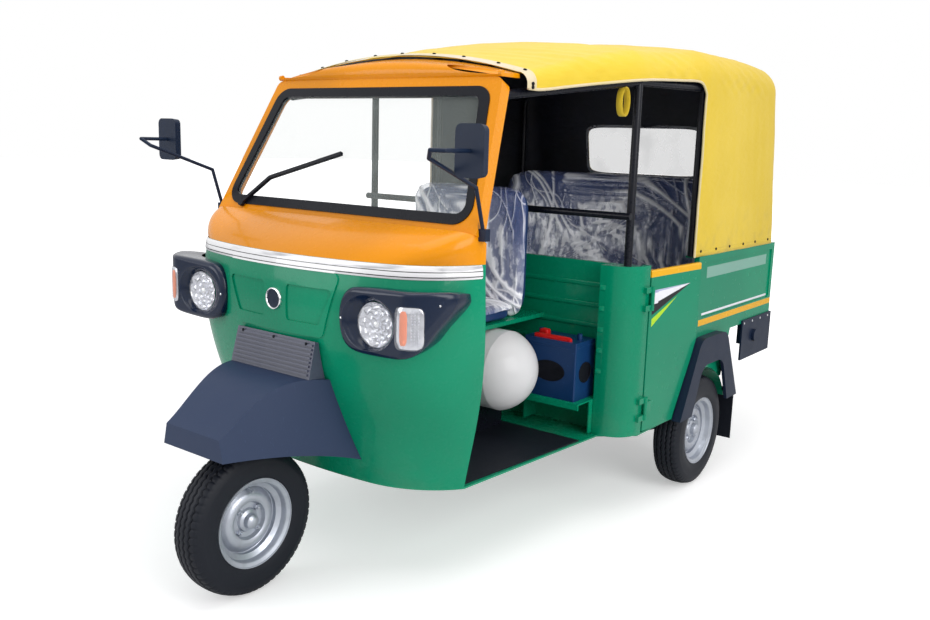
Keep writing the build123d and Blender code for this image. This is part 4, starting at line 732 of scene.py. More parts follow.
# Columns of the valance over the side opening: share of the opening, share of the height.
valance_shares = [(-0.02, 0.702), (0.06, 0.700), (0.20, 0.722), (0.35, 0.745), (0.55, 0.772)]
valance_shares += [(0.80, 0.789), (0.93, 0.795), (0.97, 0.783), (1.00, 0.745)]
bows = (hood_front, 1.262, 1.748, 2.480, 2.640)
smooth_hood = flowing(hood_shares, 60)
smooth_valance = flowing(valance_shares, 60)
# The climb over half a cut: where the straight side ends, and where the shoulder ends.
side_climb = 0.22
shoulder_climb = 0.42


def hood_cut(y, climb):
    """The canvas at a place along and a climb from 0, the valance, to 1, the crown.

    The side is straight, the shoulder a quarter circle, and the rest one wide arc. Returns
    points on the left half and the directions out of the cloth.
    """
    station = np.clip((y - hood_front) / (hood_tail - hood_front), 0, 1)
    half, shoulder, crown, corner = (
        np.interp(station, smooth_hood[:, 0], smooth_hood[:, k]) for k in range(1, 5)
    )
    half = half * hood_half
    corner = corner * hood_half
    shoulder = hood_foot + shoulder * hood_rise
    crown = hood_foot + crown * hood_rise
    opening = np.clip((y - hood_front) / (opening_rear - hood_front), 0, 1)
    low = hood_foot + np.interp(opening, *smooth_valance.T) * hood_rise
    side = np.clip(climb / side_climb, 0, 1)
    bend = np.clip((climb - side_climb) / (shoulder_climb - side_climb), 0, 1) * np.pi / 2
    over = np.clip((climb - shoulder_climb) / (1 - shoulder_climb), 0, 1)
    width = half - corner
    height = crown - shoulder - corner
    wide = (width**2 + height**2) / (2 * height)
    reach = np.arcsin(width / wide) * (1 - over)
    beside = climb < shoulder_climb
    x = np.where(beside, half - corner + corner * np.cos(bend), wide * np.sin(reach))
    z_side = low + (shoulder - low) * side + corner * np.sin(bend)
    z = np.where(beside, z_side, crown - wide + wide * np.cos(reach))
    out_x = np.where(beside, np.cos(bend), np.sin(reach))
    out_z = np.where(beside, np.sin(bend), np.cos(reach))
    return np.stack([x, y, z], axis=-1), np.stack([out_x, 0 * y, out_z], axis=-1)


def hang(points, outward):
    """Canvas between its bows: it sinks in each bay, folds by the bows' ends and ripples."""
    _, y, z = np.moveaxis(points, -1, 0)
    bay = np.clip(np.searchsorted(bows, y) - 1, 0, len(bows) - 2)
    start = np.take(bows, bay)
    end = np.take(bows, bay + 1)
    share = np.clip((y - start) / (end - start), 0, 1)
    sink = 4 * share * (1 - share) * np.minimum(1, (end - start) / 0.5)
    side_part = 1 - smooth_step(1.62, 1.74, z)
    depth = 0.0055 + 0.006 * smooth_step(1.70, 1.80, z) - 0.002 * side_part
    shoulder_near = np.exp(-(((z - 1.735) / 0.07) ** 2))
    slants = np.sin((y + z * 1.6) * 62) + np.sin((y - z * 1.6) * 55)
    folds = 0.0016 * slants * shoulder_near * sink
    waves = 0.0022 * ripple(points, 0.34, 9, 3) + 0.0009 * ripple(points, 0.11, 12, 5)
    return points + outward * (folds + waves - depth * sink)[..., None]


over_half = np.linspace(0, 1, 56)
climb = np.concatenate([over_half, over_half[-2::-1]])
mirrored = np.ones((len(climb), 3))
mirrored[len(over_half) :, 0] = -1


def hood_rows(y):
    """All rows over the hood at given places along: the left half and its mirror image."""
    points, outward = hood_cut(y + 0 * climb[:, None], climb[:, None] + 0 * y)
    return points * mirrored[:, None], outward * mirrored[:, None]


def tail_y(height, radius=0.0):
    """How far back the leaning tail wall stands at a height."""
    return hood_tail - tail_lean * (height - hood_foot) - radius


# The front part, open at its sides under the valance.
front_skin = hang(*hood_rows(np.linspace(hood_front, opening_rear, 90)[None, :]))

# The rear part, down to the body and rounded in to the tail wall.
edge_radius = 0.088 + 0.062 * smooth_step(0.40, 0.85, climb)
height_there = hood_rows(np.array([[hood_tail - 0.10]]))[0][:, 0, 2]
flat_end = tail_y(height_there, edge_radius)
along = np.linspace(0, 1, 64)[None, :]
rear_points, rear_out = hood_rows(opening_rear + along * (flat_end[:, None] - opening_rear))
drop = np.linspace(0, 1, 34, endpoint=False)[:, None, None]


def side_below(points, outward):
    """The straight side under the first and last row, from the body up."""
    foot = points[:1] * [1, 1, 0] + [0, 0, hood_foot]
    return foot + (points[:1] - foot) * drop, outward[:1] + 0 * drop


def around_edge(points, outward, radius, steps):
    """The cloth going round the tail edge: in and back along a quarter circle, with the lean."""
    turn = np.linspace(0, np.pi / 2, steps)[None, 1:, None]
    radius = radius[:, None, None]
    back_way = np.array([0.0, 1.0, 0.0])
    inward = radius * (1 - np.cos(turn))
    back = radius * np.sin(turn) + tail_lean * inward * outward[:, -1:, 2:]
    bent = points[:, -1:] - inward * outward[:, -1:] + back * back_way
    return bent, np.cos(turn) * outward[:, -1:] + np.sin(turn) * back_way


left_low, left_low_out = side_below(rear_points, rear_out)
right_low, right_low_out = side_below(rear_points[::-1], rear_out[::-1])
rear_all = np.concatenate([left_low, rear_points, right_low[::-1]])
rear_all_out = np.concatenate([left_low_out, rear_out, right_low_out[::-1]])
low_radius = np.full(len(drop), edge_radius[0])
all_radius = np.concatenate([low_radius, edge_radius, low_radius])
stretch = tail_y(rear_all[:, -1, 2], all_radius)
share_back = (rear_all[..., 1] - opening_rear) / (rear_all[:, -1:, 1] - opening_rear)
rear_all[..., 1] = opening_rear + share_back * (stretch[:, None] - opening_rear)
edge, edge_out = around_edge(rear_all, rear_all_out, all_radius, 12)
rear_skin = hang(
    np.concatenate([rear_all, edge], axis=1), np.concatenate([rear_all_out, edge_out], axis=1)
)

# The tail wall: straight lines from the window's edge out to the rounded edge and the foot.
window_center = np.array([0.0, hood_foot + 0.4095])
window_half = np.array([0.320, 0.117])


def window_edge(angle, grow=0.0):
    """A rounded rectangle about the window's middle, as a reach for each direction."""
    parts = np.abs(circle(angle)) / (window_half + grow)
    reach = (parts**9).sum(axis=1, keepdims=True) ** (-1 / 9)
    return window_center + reach * circle(angle)


outer = rear_skin[:, -1]
outer = np.concatenate([outer, np.linspace(outer[-1], outer[0], 60)[1:-1]])
from_window = outer[:, [0, 2]] - window_center
inner_flat = window_edge(np.arctan2(from_window[:, 1], from_window[:, 0]))
inner = np.stack([inner_flat[:, 0], tail_y(inner_flat[:, 1]), inner_flat[:, 1]], axis=1)
spread = np.linspace(0, 1, 30)[:, None, None]
tail_wall = inner[None] * (1 - spread) + outer[None] * spread
quiet = (spread * (1 - spread) * 4)[..., 0]
sway = 0.004 * ripple(tail_wall, 0.30, 9, 8) + 0.0012 * ripple(tail_wall, 0.10, 9, 9)
tail_wall[..., 1] += quiet * (sway - 0.004)
print("canvas cuts:", front_skin.shape[:2], rear_skin.shape[:2], tail_wall.shape[:2])


# %% [markdown]
# ## Canvas as a material
# Coated canvas shows a fine weave under a soft sheen. Its colour is a strong yellow that sun and
# folds vary a little, with dirt near the hem and a stitched line there. The weave is two crossed
# waves, far finer than the folds that are in the mesh.

# %% Canvas as a material
def canvas_cloth(name, base, sheen=0.12):
    """Coated cloth: crossed threads, soft wrinkles and a stitched line above the foot."""
    f = Finish(name)
    height = f.axis("Z")
    dirt = (1 - height.ramp(1.00, 1.25)) * f.noise(16.0, 4.0).ramp(0.45, 0.8) * 0.30
    pale = tinted(base, (1.12, 1.16, 2.6))
    tint = f.blend(f.noise(3.0, 3.0).ramp(0.35, 0.75) * 0.5, base, pale)
    threads = (f.axis("Y") * 2200.0).math("SINE") + (height * 2200.0).math("SINE")
    wrinkles = f.noise(26.0, 4.0, (1.0, 1.0, 2.2))
    stitch = height.band(1.026, 1.028, 0.002)
    return f.set(
        Base_Color=f.blend(dirt, tint, colour(0.30, 0.22, 0.09)),
        Roughness=0.50 + 0.14 * f.noise(40.0, 3.0),
        Normal=f.bump(threads * 0.02 + wrinkles - stitch * 0.6, 0.42, 0.006),
        Sheen_Weight=sheen,
        Sheen_Roughness=0.5,
        Specular_IOR_Level=0.35,
    )


hood_yellow = canvas_cloth("hood_yellow", colour(0.690, 0.490, 0.022))
trim_cloth = canvas_cloth("trim_cloth", colour(0.64, 0.54, 0.27))
lining_cloth = canvas_cloth("lining_cloth", colour(0.012, 0.013, 0.018), sheen=0.1)

grids = [(from_axle(front_skin), False, False), (from_axle(rear_skin), False, False)]
grids.append((from_axle(tail_wall), False, True))
canvas = piece("hood_canvas", grids, hood_yellow, crease=50, outside_of=from_axle([0, 1.7, 1.3]))
canvas.data.materials.append(lining_cloth)
thick = canvas.modifiers.new("two layers of cloth", "SOLIDIFY")
thick.thickness = 0.003
thick.offset = -1
thick.material_offset = 1
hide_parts("canopy")

# %% [markdown]
# ## Edges of the hood
# A cord sewn in pale cloth runs along the side openings. At the front a cream strip with dark
# screws clamps the canvas to the roof, and screws hold its foot to the body all round.

# %% Edges of the hood
sides_down = (rear_skin[: len(drop), 0][::-1], rear_skin[-len(drop) :, 0])
edge_grids = [
    rod(from_axle(np.concatenate([front_skin[row], down])), 0.0050)
    for row, down in zip((0, -1), sides_down)
]
piece("opening_piping", edge_grids, trim_cloth, crease=60)

strip_y = np.linspace(hood_front - 0.006, hood_front + 0.036, 7)
strip_points, strip_out = hood_rows(strip_y[None, :])
crowned = 0.0042 * np.sqrt(np.clip(1 - np.linspace(-1, 1, 7) ** 4, 0, 1))[None, :, None]
strip = strip_points + strip_out * (0.0008 + crowned)
piece("front_clamp_strip", [(from_axle(strip), False, False)], trim_cloth, crease=60)

screw_rows = np.linspace(4, len(climb) - 5, 13).astype(int)
heads = domes(from_axle(strip[screw_rows, 3]), strip_out[screw_rows, 3], 0.0065, 0.0040)
hem_height = hood_foot + 0.022
hem_head = (0.0060, 0.0035)
hem_columns = np.linspace(4, 60, 6).astype(int)
for row, side in ((1, 1), (-2, -1)):
    hem = rear_skin[row, hem_columns] + [side * 0.0005, 0, 0]
    hem[:, 2] = hem_height
    heads += domes(from_axle(hem), (side, 0, 0), *hem_head)
hem = [(x, hood_tail - 0.0005, hem_height) for x in np.linspace(-0.55, 0.55, 8)]
heads += domes(from_axle(hem), (0, 1, 0), *hem_head)
piece("hood_screws", heads, matte_black, crease=50)
print("hood screws:", len(heads))

# %% [markdown]
# ## The rear window
# A sheet of cloudy film is sewn behind the window's hole. It is slack, so it bellies between its
# seams. Rings about its middle, each a smaller rounded rectangle, fill it.

# %% The rear window
window_seam = 0.014
size_share = np.linspace(1, 0, 26)[:, None, None]
film_flat = window_center + (window_edge(turns(120), window_seam) - window_center) * size_share
slack = 1 - size_share[..., 0] ** 2
film_y = tail_y(film_flat[..., 1]) - 0.0045 + 0.004 * slack
film_points = np.stack([film_flat[..., 0], film_y, film_flat[..., 1]], axis=-1)
film_points[..., 1] += 0.0012 * ripple(film_points, 0.12, 9, 12) * slack
film = piece("rear_window_film", [(from_axle(film_points), False, True)], cloudy_film, crease=60)
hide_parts("rear_window")
print("film points:", film_points.shape[:2])


# %% [markdown]
# ## Feeling for a surface
# Trim that lies on pressed sheet has to follow it. Rays are sent at a carried piece, and where
# they land gives the points of the trim, so it touches along its whole length. Small lenses,
# plates and pads are flat outlines raised in rings.

# %% Feeling for a surface
def laid_on(node_name, starts, way, lift):
    """Points where rays meet a piece, lifted off it along its normal; the grid's shape is kept."""
    mesh = nodes[node_name].data
    tree = BVHTree.FromPolygons(
        [vertex.co for vertex in mesh.vertices], [face.vertices for face in mesh.polygons]
    )
    shape = np.shape(starts)
    flat = np.asarray(starts, float).reshape(-1, 3)
    ways = np.broadcast_to(np.asarray(way, float), shape).reshape(-1, 3)
    found = [tree.ray_cast(Vector(start), Vector(ray)) for start, ray in zip(flat, ways)]
    place = np.array([hit[0] for hit in found])
    facing = np.array([hit[1] for hit in found])
    facing *= -np.sign((facing * ways).sum(axis=1, keepdims=True))
    lifts = np.broadcast_to(np.asarray(lift, float), shape[:-1]).reshape(-1, 1)
    return (place + facing * lifts).reshape(shape), facing.reshape(shape)


def rounded(half_wide, half_high, corner, count=48):
    """A rounded rectangle's outline: directions from the middle, cut to its straight sides."""
    power = 2 + 6 * min(half_wide, half_high) / corner / 4
    ways = circle(turns(count))
    reach = (np.abs(ways / [half_wide, half_high]) ** power).sum(axis=1, keepdims=True)
    return reach ** (-1 / power) * ways


def button(outline, levels, place, across_way=(1, 0, 0), up_way=(0, 0, 1)):
    """A flat outline raised in rings of (size, height): a lens, a pad or a plate."""
    out_way = np.cross(across_way, up_way)
    spread = outline @ np.array([across_way, up_way], float)
    rings = [np.asarray(place) + size * spread + high * out_way for size, high in levels]
    return np.stack(rings), False, True


print("an outline has", len(rounded(0.1, 0.1, 0.02)), "points")

# %% [markdown]
# ## The waist band
# A white moulding with two black lines hides the joint between the green shell and the orange
# cowl. Rays find the shell at nine heights, and the band is crowned like a half round.

# %% The waist band
band_low = 1.041
band_high = 1.082
dark_line = colour(0.01, 0.01, 0.015)


def band_finish():
    """White gloss with two thin black lines, and dark streaks painted on as reflections of a dark
    floor.
    """
    f = Finish("band_white")
    z = f.axis("Z")
    lines = z.band(1.0475, 1.0500, 0.0006) + z.band(1.0630, 1.0650, 0.0006)
    # Painted reflection: dark streaks in a band above the upper black line.
    painted_reflection = f.noise(5.0, 2.0, (1.0, 1.0, 12.0)).ramp(0.52, 0.66) * z.band(1.0660, 1.0790, 0.004)
    tint = f.blend(painted_reflection * 0.55, colour(0.84, 0.84, 0.86), colour(0.16, 0.16, 0.20))
    return f.set(
        Base_Color=f.blend(lines, tint, dark_line),
        Roughness=0.12 + 0.10 * f.noise(30.0, 3.0),
        Normal=f.bump(f.noise(14.0, 2.0), 0.15, 0.004),
        Coat_Weight=0.4,
        Coat_Roughness=0.04,
    )


swing = np.radians(np.linspace(-86, 86, 150))
band_way = np.stack([-np.sin(swing), np.cos(swing), 0 * swing], axis=-1)
band_heart = from_axle([0.0, 0.452, 0.0])
band_rows = np.linspace(band_low, band_high, 9)[:, None, None] * np.array([0, 0, 1.0])
band_crown = 0.0045 * np.sqrt(1 - np.linspace(-0.98, 0.98, 9) ** 4)[:, None] + 0.0004
band_starts = band_heart - 1.4 * band_way[None] + band_rows
band_points, _ = laid_on("cab_lower_shell", band_starts, band_way, band_crown)
piece(
    "waist_band",
    [(band_points, False, False)],
    band_finish(),
    crease=60,
    outside_of=band_heart + [0, 0, 1.06],
)
print("waist band reaches", round(float(band_points[..., 0].max()), 3), "m to the left")

# %% [markdown]
# ## Stripes and wedges on the sides
# The door and the side carry painted stripes: a yellow one along the top, and wedges of white,
# black and lime that run to points. Each wedge is the space between two slanting lines, written
# as arithmetic on the height above each line. On the side, a thin pale line and a pale band are
# painted highlights, standing for the light on a lower edge and on a ledge of the sheet.

# %% Stripes and wedges on the sides
# Painted shade for the dips of the sheet's waves on the striped panels.
green_wave_shade = colour(0.002, 0.225, 0.120)
stripe_yellow = colour(0.82, 0.42, 0.006)
# White paint on the door's wedge; on the side it is a painted highlight of an edge.
stripe_white_and_edge_highlight = colour(0.80, 0.80, 0.86)
stripe_lilac = colour(0.42, 0.46, 0.66)
stripe_black = colour(0.012, 0.012, 0.016)
stripe_lime = colour(0.42, 0.68, 0.02)
# A painted highlight of a ledge on the side panel.
painted_ledge_highlight = colour(0.42, 0.60, 0.56)
paint_edge = 0.0008


def above_line(y, z, front, height, tip):
    """1 above a slanting line from a front edge to a tip, 0 below it."""
    slope = (tip[1] - height) / (tip[0] - front)
    return (z - height - (y - front) * slope).ramp(-paint_edge, paint_edge)


def wedge(y, z, front, low, high, tip=(1.674, 0.909)):
    """1 inside a triangle from an upright front edge to a tip behind it."""
    inside = above_line(y, z, front, low, tip) * (1 - above_line(y, z, front, high, tip))
    behind = y.ramp(front - paint_edge, front + paint_edge)
    return inside * behind * (1 - y.ramp(tip[0], tip[0] + 0.001))


def door_stripes(y, z):
    """A strip along the top and three wedges below it."""
    return [
        (wedge(y, z, 1.382, 0.852, 0.907), stripe_white_and_edge_highlight),
        (wedge(y, z, 1.382, 0.898, 0.907), stripe_lilac),
        (wedge(y, z, 1.382, 0.811, 0.852), stripe_black),
        (wedge(y, z, 1.385, 0.766, 0.797, (1.572, 0.867)), stripe_lime),
        (z.ramp(0.9575, 0.9590), stripe_yellow),
    ]


def side_stripes(y, z):
    """A broad yellow stripe, and two painted highlights over it.

    A thin pale line stands for the light on a lower edge, and a pale band for the light on a
    ledge.
    """
    return [
        (z.band(0.7095, 0.7350, paint_edge) * y.ramp(1.800, 1.802), stripe_yellow),
        # Painted highlight: the thin pale line is the light on a lower edge.
        (z.band(0.7500, 0.7590, paint_edge) * y.band(1.83, 2.60, 0.002), stripe_white_and_edge_highlight),
        # Painted highlight: the pale band, at half strength, is the light on a ledge.
        (z.band(0.9080, 0.9520, 0.0030) * y.band(1.87, 2.56, 0.004) * 0.5, painted_ledge_highlight),
    ]


for name, stripes, striped in (
    ("door_enamel", door_stripes, ("passenger_door", "fixed_half_panel")),
    ("side_enamel", side_stripes, ("side_panel_left", "side_panel_right")),
):
    finish = enamel(name, green, dust_top=0.6, wave_shade=green_wave_shade, stripes=stripes)
    for node_name in striped:
        nodes[node_name].data.materials[0] = finish
print("striped pieces: 4")

# %% [markdown]
# ## Lamp pods
# Each pod is one glossy moulding that wraps the corner of the cab. A smooth outline is drawn in
# rings towards the head lamp: first over a rounded edge, then across a face that bends back at
# the corner, and last down an oval bowl to the lamp's hole. Behind the edge a skirt goes back
# into the shell.

# %% Lamp pods
pod_outline = [
    (0.268, 0.905), (0.276, 0.965), (0.312, 1.006), (0.380, 1.016), (0.500, 1.020),
    (0.618, 1.021), (0.634, 1.008), (0.632, 0.972), (0.600, 0.905), (0.572, 0.852),
    (0.530, 0.826), (0.440, 0.818), (0.340, 0.820), (0.288, 0.846),
]
lamp_center = np.array([0.408, 0.908])
bowl_center = np.array([0.396, 0.914])
bowl_half = np.array([0.108, 0.083])
lamp_hole = 0.0675
edge_round = 0.016
# Depths behind the axle: the flat face, the bowl's floor at the lamp, the end of its wall.
pod_front = 0.134
bowl_floor = 0.158
bowl_end = 0.172
pod_bend = 0.520
both_sides = (1, -1)
lamp_turn = turns(128)


def closed_line(points, count):
    """A smooth closed line: the points are repeated round, and the middle round is kept."""
    line = flowing([*points * 3, points[0]], count * 3 + 1)
    return line[count : 2 * count]


def pod_face(x):
    """How far back the pod's face lies: flat at the lamp, bending back towards the side."""
    bend = 8.0 * np.clip(x - pod_bend, 0, None) ** 2
    return pod_front + bend + 0.10 * np.clip(0.33 - x, 0, None)


def by_angle(line, middle, angles):
    """A closed line read at given angles about a middle."""
    away = line - middle
    angle = np.arctan2(away[:, 1], away[:, 0])
    order = np.argsort(angle)
    reach = np.linalg.norm(away, axis=1)[order]
    return np.interp(angles, angle[order], reach, period=2 * np.pi)[:, None]


def pod(side):
    """Rings of one pod from the skirt in the shell to the lamp's hole."""
    ways = circle(lamp_turn)
    edge = lamp_center + ways * by_angle(closed_line(pod_outline, 200), lamp_center, lamp_turn)
    bowl_line = bowl_center + bowl_half * ways
    bowl = lamp_center + ways * by_angle(bowl_line, lamp_center, lamp_turn)
    hole = lamp_center + ways * lamp_hole
    rings = []
    for back in (0.110, 0.080, 0.050, 0.030):
        drawn_in = lamp_center + (edge - lamp_center) * (1 - 9.0 * back**2)
        rings.append((drawn_in, pod_face(edge[:, 0]) + back))
    for turn in np.radians([0, 20, 40, 60, 75, 90]):
        inward = edge - ways * edge_round * (1 - np.cos(turn))
        rings.append((inward, pod_face(inward[:, 0]) + edge_round * (1 - np.sin(turn))))
    start = rings[-1][0]
    for share in np.linspace(0.12, 1, 10):
        flat = start + (bowl - start) * share
        rings.append((flat, pod_face(flat[:, 0])))
    for share in np.linspace(0.08, 1, 12):
        belly = 0.004 * smooth_step(0, 0.3, share) - 0.006 * np.sin(np.pi * share)
        depth = pod_face(bowl[:, 0]) * (1 - share) + bowl_floor * share + belly
        rings.append((bowl + (hole - bowl) * share, depth))
    rings.append((hole, np.full(len(hole), bowl_end)))
    points = [np.stack([side * flat[:, 0], back, flat[:, 1]], axis=-1) for flat, back in rings]
    return from_axle(np.stack(points)), False, True


pods = piece("moulded_pods", [pod(1), pod(-1)], black_gloss, crease=55)
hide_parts("headlamp_pods")
print("pod faces:", len(pods.data.polygons))

# %% [markdown]
# ## Head lamps
# Behind a clear domed lens sits a bright bowl pressed in round facets, with a capped bulb in the
# middle. The bowl is a turned curve whose depth is dimpled by rings of soft bumps.

# %% Head lamps
# Columns: depth behind the axle, radius.
dome_line = [(0.1440, 0.0), (0.1444, 0.020), (0.1460, 0.042), (0.1490, 0.058), (0.1530, 0.0672)]
dome_line += [(0.1550, 0.0672), (0.1510, 0.058), (0.1480, 0.042), (0.1464, 0.020), (0.1460, 0.0)]
bulb_line = [(0.1745, 0.013), (0.1620, 0.013), (0.1580, 0.0105), (0.1560, 0.006), (0.1555, 0.0)]
bulb_hole = 0.012
facet_step = 0.0185

depth = np.linspace(0, 1, 48)[:, None]
reach = bulb_hole + (lamp_hole - bulb_hole) * np.sqrt(depth)
ring_step = (reach - bulb_hole) / facet_step
shift = 0.5 * (np.floor(ring_step) % 2)
dimple = np.abs(np.sin(ring_step * np.pi)) * np.abs(np.sin(lamp_turn * 5 + shift * np.pi))
bowl_y = 0.1745 - 0.0170 * depth + 0.0062 * dimple**0.7 * (depth < 0.999)
bowl = np.stack([reach * np.cos(lamp_turn), bowl_y, reach * np.sin(lamp_turn)], axis=-1)
hearts = [from_axle([side * lamp_center[0], 0.0, lamp_center[1]]) for side in both_sides]
lamp_grids = [(heart + bowl, False, True) for heart in hearts]
reflectors = piece("lamp_reflectors", lamp_grids, reflector_chrome, crease=25)
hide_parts("headlamps")
piece("lamp_lenses", [lathe(dome_line, 64, heart, "Y") for heart in hearts], lens_glass)
piece("lamp_bulbs", [lathe(bulb_line, 24, heart, "Y") for heart in hearts], bright_metal)
print("lamp faces:", len(reflectors.data.polygons))

# %% [markdown]
# ## Turn lamps
# Beside each head lamp an upright clear lens stands a little proud of the pod. Under it lie a
# silver tray with rows of small domes and an amber strip. Each part is a flat outline raised in
# rings and laid on the pod's bent face.

# %% Turn lamps
turn_center = np.array([0.549, 0.919])
turn_outline = rounded(0.0360, 0.0600, 0.012)
strip_outline = rounded(0.0110, 0.0500, 0.006)
# Columns: share of the outline, height off the pod.
tray_levels = [(1.0, -0.002), (1.0, 0.001), (0.97, 0.002), (0.6, 0.002), (0.0, 0.002)]
strip_levels = [(1.0, 0.001), (1.0, 0.004), (0.8, 0.0055), (0.0, 0.0060)]
cover_levels = [(1.04, -0.001), (1.04, 0.0070), (1.00, 0.0095), (0.90, 0.0105)]
cover_levels += [(0.5, 0.0110), (0.0, 0.0112)]
pod_screws = np.array([(0.284, 0.914), (0.613, 0.985)])


def pod_points(flat, high, side):
    """Points of one side's face, given from in front, at a height off the pod."""
    x, z = np.moveaxis(np.asarray(flat), -1, 0)
    return from_axle(np.stack([side * x, pod_face(x) - high, z], axis=-1))


def on_pod(outline, levels, middle, side):
    """A flat outline raised in rings of (size, height) off the pod's face."""
    rings = [pod_points(middle + outline * size, high, side) for size, high in levels]
    return np.stack(rings), False, True


tray_grids = []
strip_grids = []
cover_grids = []
screw_grids = []
rows, columns = np.meshgrid(np.linspace(-0.048, 0.048, 12), (0.010, 0.018, 0.026), indexing="ij")
tray_domes = turn_center + np.stack([columns.ravel(), rows.ravel()], axis=1)
for side in both_sides:
    tray_grids.append(on_pod(turn_outline, tray_levels, turn_center, side))
    tray_grids += domes(pod_points(tray_domes, 0.0022, side), (0, -1, 0), 0.0034, 0.0022, 8)
    strip_grids.append(on_pod(strip_outline, strip_levels, turn_center - [0.012, 0], side))
    cover_grids.append(on_pod(turn_outline, cover_levels, turn_center, side))
    screw_grids += domes(pod_points(pod_screws, -0.0005, side), (0, -1, 0), 0.0038, 0.0020)
trays = piece("turn_trays", tray_grids, reflector_chrome)
piece("turn_strips", strip_grids, amber_plastic)
piece("turn_lenses", cover_grids, lens_glass)
piece("pod_screws", screw_grids, bright_metal, crease=50)
print("turn lamp faces:", len(trays.data.polygons))

# %% [markdown]
# ## The round cap
# A plain round cap closes the hole in the nose: a dark dished face in a bright rim.

# %% The round cap
cap_low, cap_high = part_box("nose_cap")
cap_place = ((cap_low.x + cap_high.x) / 2, cap_low.y, (cap_low.z + cap_high.z) / 2)
face_line = [(0.004, 0.0295), (-0.0005, 0.0290), (0.0008, 0.020), (0.0004, 0.010), (0.0, 0.0)]
ring_line = [(0.006, 0.0350), (-0.0010, 0.0350), (-0.0032, 0.0335)]
ring_line += [(-0.0036, 0.0315), (-0.0020, 0.0295), (0.002, 0.0290)]
piece("cap_face", [lathe(face_line, 64, cap_place, "Y")], black_plastic, crease=50)
cap_rim = piece("cap_rim", [lathe(ring_line, 64, cap_place, "Y")], bright_metal, crease=50)
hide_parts("nose_cap")
print("cap faces:", len(cap_rim.data.polygons))


# %% [markdown]
# ## Seats
# The seats are vinyl pads: full sides, soft corners and a crowned front. A pad starts as a
# superquadric, a ball pushed out towards a box by powers. Cloth simulation then swells it as the
# foam swells a cover, with a cap on the movement, and sewn channels are pressed in afterwards.

# %% Seats
def pad_surface(low, high, thin, rows=44, columns=144, lean=0.0, start=-np.pi / 2):
    """A pad between two corners: nearly a box in outline, and crowned across its thin axis."""
    low = np.asarray(low, float)
    high = np.asarray(high, float)
    half = (high - low) / 2
    climb = np.linspace(start, np.pi / 2, rows)[:, None]
    turn = turns(columns)[None, :]
    power = np.where(climb < 0, 0.22, 2 / 3.4)
    ring = np.abs(np.cos(climb)) ** power
    deep = "XYZ".index(thin)
    wide, long = [k for k in range(3) if k != deep]
    flat = np.zeros((rows, columns, 3))
    for axis, wave in ((wide, np.cos(turn)), (long, np.sin(turn))):
        flat[..., axis] = half[axis] * ring * np.sign(wave) * np.abs(wave) ** 0.24
    facing = -1 if thin == "Y" else 1
    flat[..., deep] = facing * half[deep] * np.sign(climb) * np.abs(np.sin(climb)) ** power
    flat += (low + high) / 2
    flat[..., 1] += lean * (flat[..., 2] - low[2])
    return from_axle(flat)


cover_pressure = 4.0
swell_frames = 20


def puff(pad, voxel, cap):
    """Cloth pressure swells a remeshed copy of the pad, and no point moves more than the cap."""
    remesh = pad.modifiers.new("even cells", "REMESH")
    remesh.mode = "VOXEL"
    remesh.voxel_size = voxel
    depsgraph = bpy.context.evaluated_depsgraph_get()
    even = bpy.data.meshes.new_from_object(pad.evaluated_get(depsgraph))
    pad.modifiers.clear()
    pad.data = even
    cloth = pad.modifiers.new("cover", "CLOTH")
    cloth.settings.use_pressure = True
    cloth.settings.uniform_pressure_force = cover_pressure
    cloth.settings.effector_weights.gravity = 0.0
    for step in range(1, swell_frames + 1):
        bpy.context.scene.frame_set(step)
    depsgraph = bpy.context.evaluated_depsgraph_get()
    swollen = bpy.data.meshes.new_from_object(pad.evaluated_get(depsgraph))
    pad.modifiers.clear()
    bpy.context.scene.frame_set(1)
    rest = vertex_rows(even)
    shift = vertex_rows(swollen) - rest
    length = np.linalg.norm(shift, axis=1, keepdims=True)
    shift *= np.minimum(1, cap / np.maximum(length, 1e-9))
    even.vertices.foreach_set("co", (rest + shift).ravel())
    smooth_faces(even)
    even.update()
    most = float(np.linalg.norm(shift, axis=1).max())
    print(pad.name, "swelled by up to", round(most * 1000, 1), "mm")


def press_channels(mesh, places, thin, depth, width):
    """Sewn channels: the cover is pulled in along upright lines across the pad."""
    points = vertex_rows(mesh)
    normals = vertex_rows(mesh, "normal")
    dent = sum(np.exp(-(((points[:, 0] - place) / width) ** 2)) for place in places)
    front = np.clip(-normals[:, 1] if thin == "Y" else normals[:, 2], 0, 1)
    points -= normals * (dent * front * depth)[:, None]
    mesh.vertices.foreach_set("co", points.ravel())
    mesh.update()


def vinyl_finish(name, base):
    """Grained vinyl: small pebbles, a soft shine and paler worn patches."""
    f = Finish(name)
    grain = f.node("ShaderNodeTexVoronoi", {"Vector": f.place(), "Scale": 700.0})
    worn = f.noise(11.0, 4.0).ramp(0.5, 0.8)
    paler = tinted(base, (1.8, 1.8, 1.5), (0.01, 0.01, 0.02))
    return f.set(
        Base_Color=f.blend(worn * 0.5, base, paler),
        Roughness=0.36 + 0.14 * worn,
        Normal=f.bump(grain, 0.25, 0.0008),
        Specular_IOR_Level=0.4,
    )


seat_vinyl = vinyl_finish("seat_vinyl", colour(0.014, 0.040, 0.130))
bench_lean = 0.070 / 0.610
driver_channels = (-0.13, 0, 0.13)
bench_channels = (-0.28, 0, 0.28)
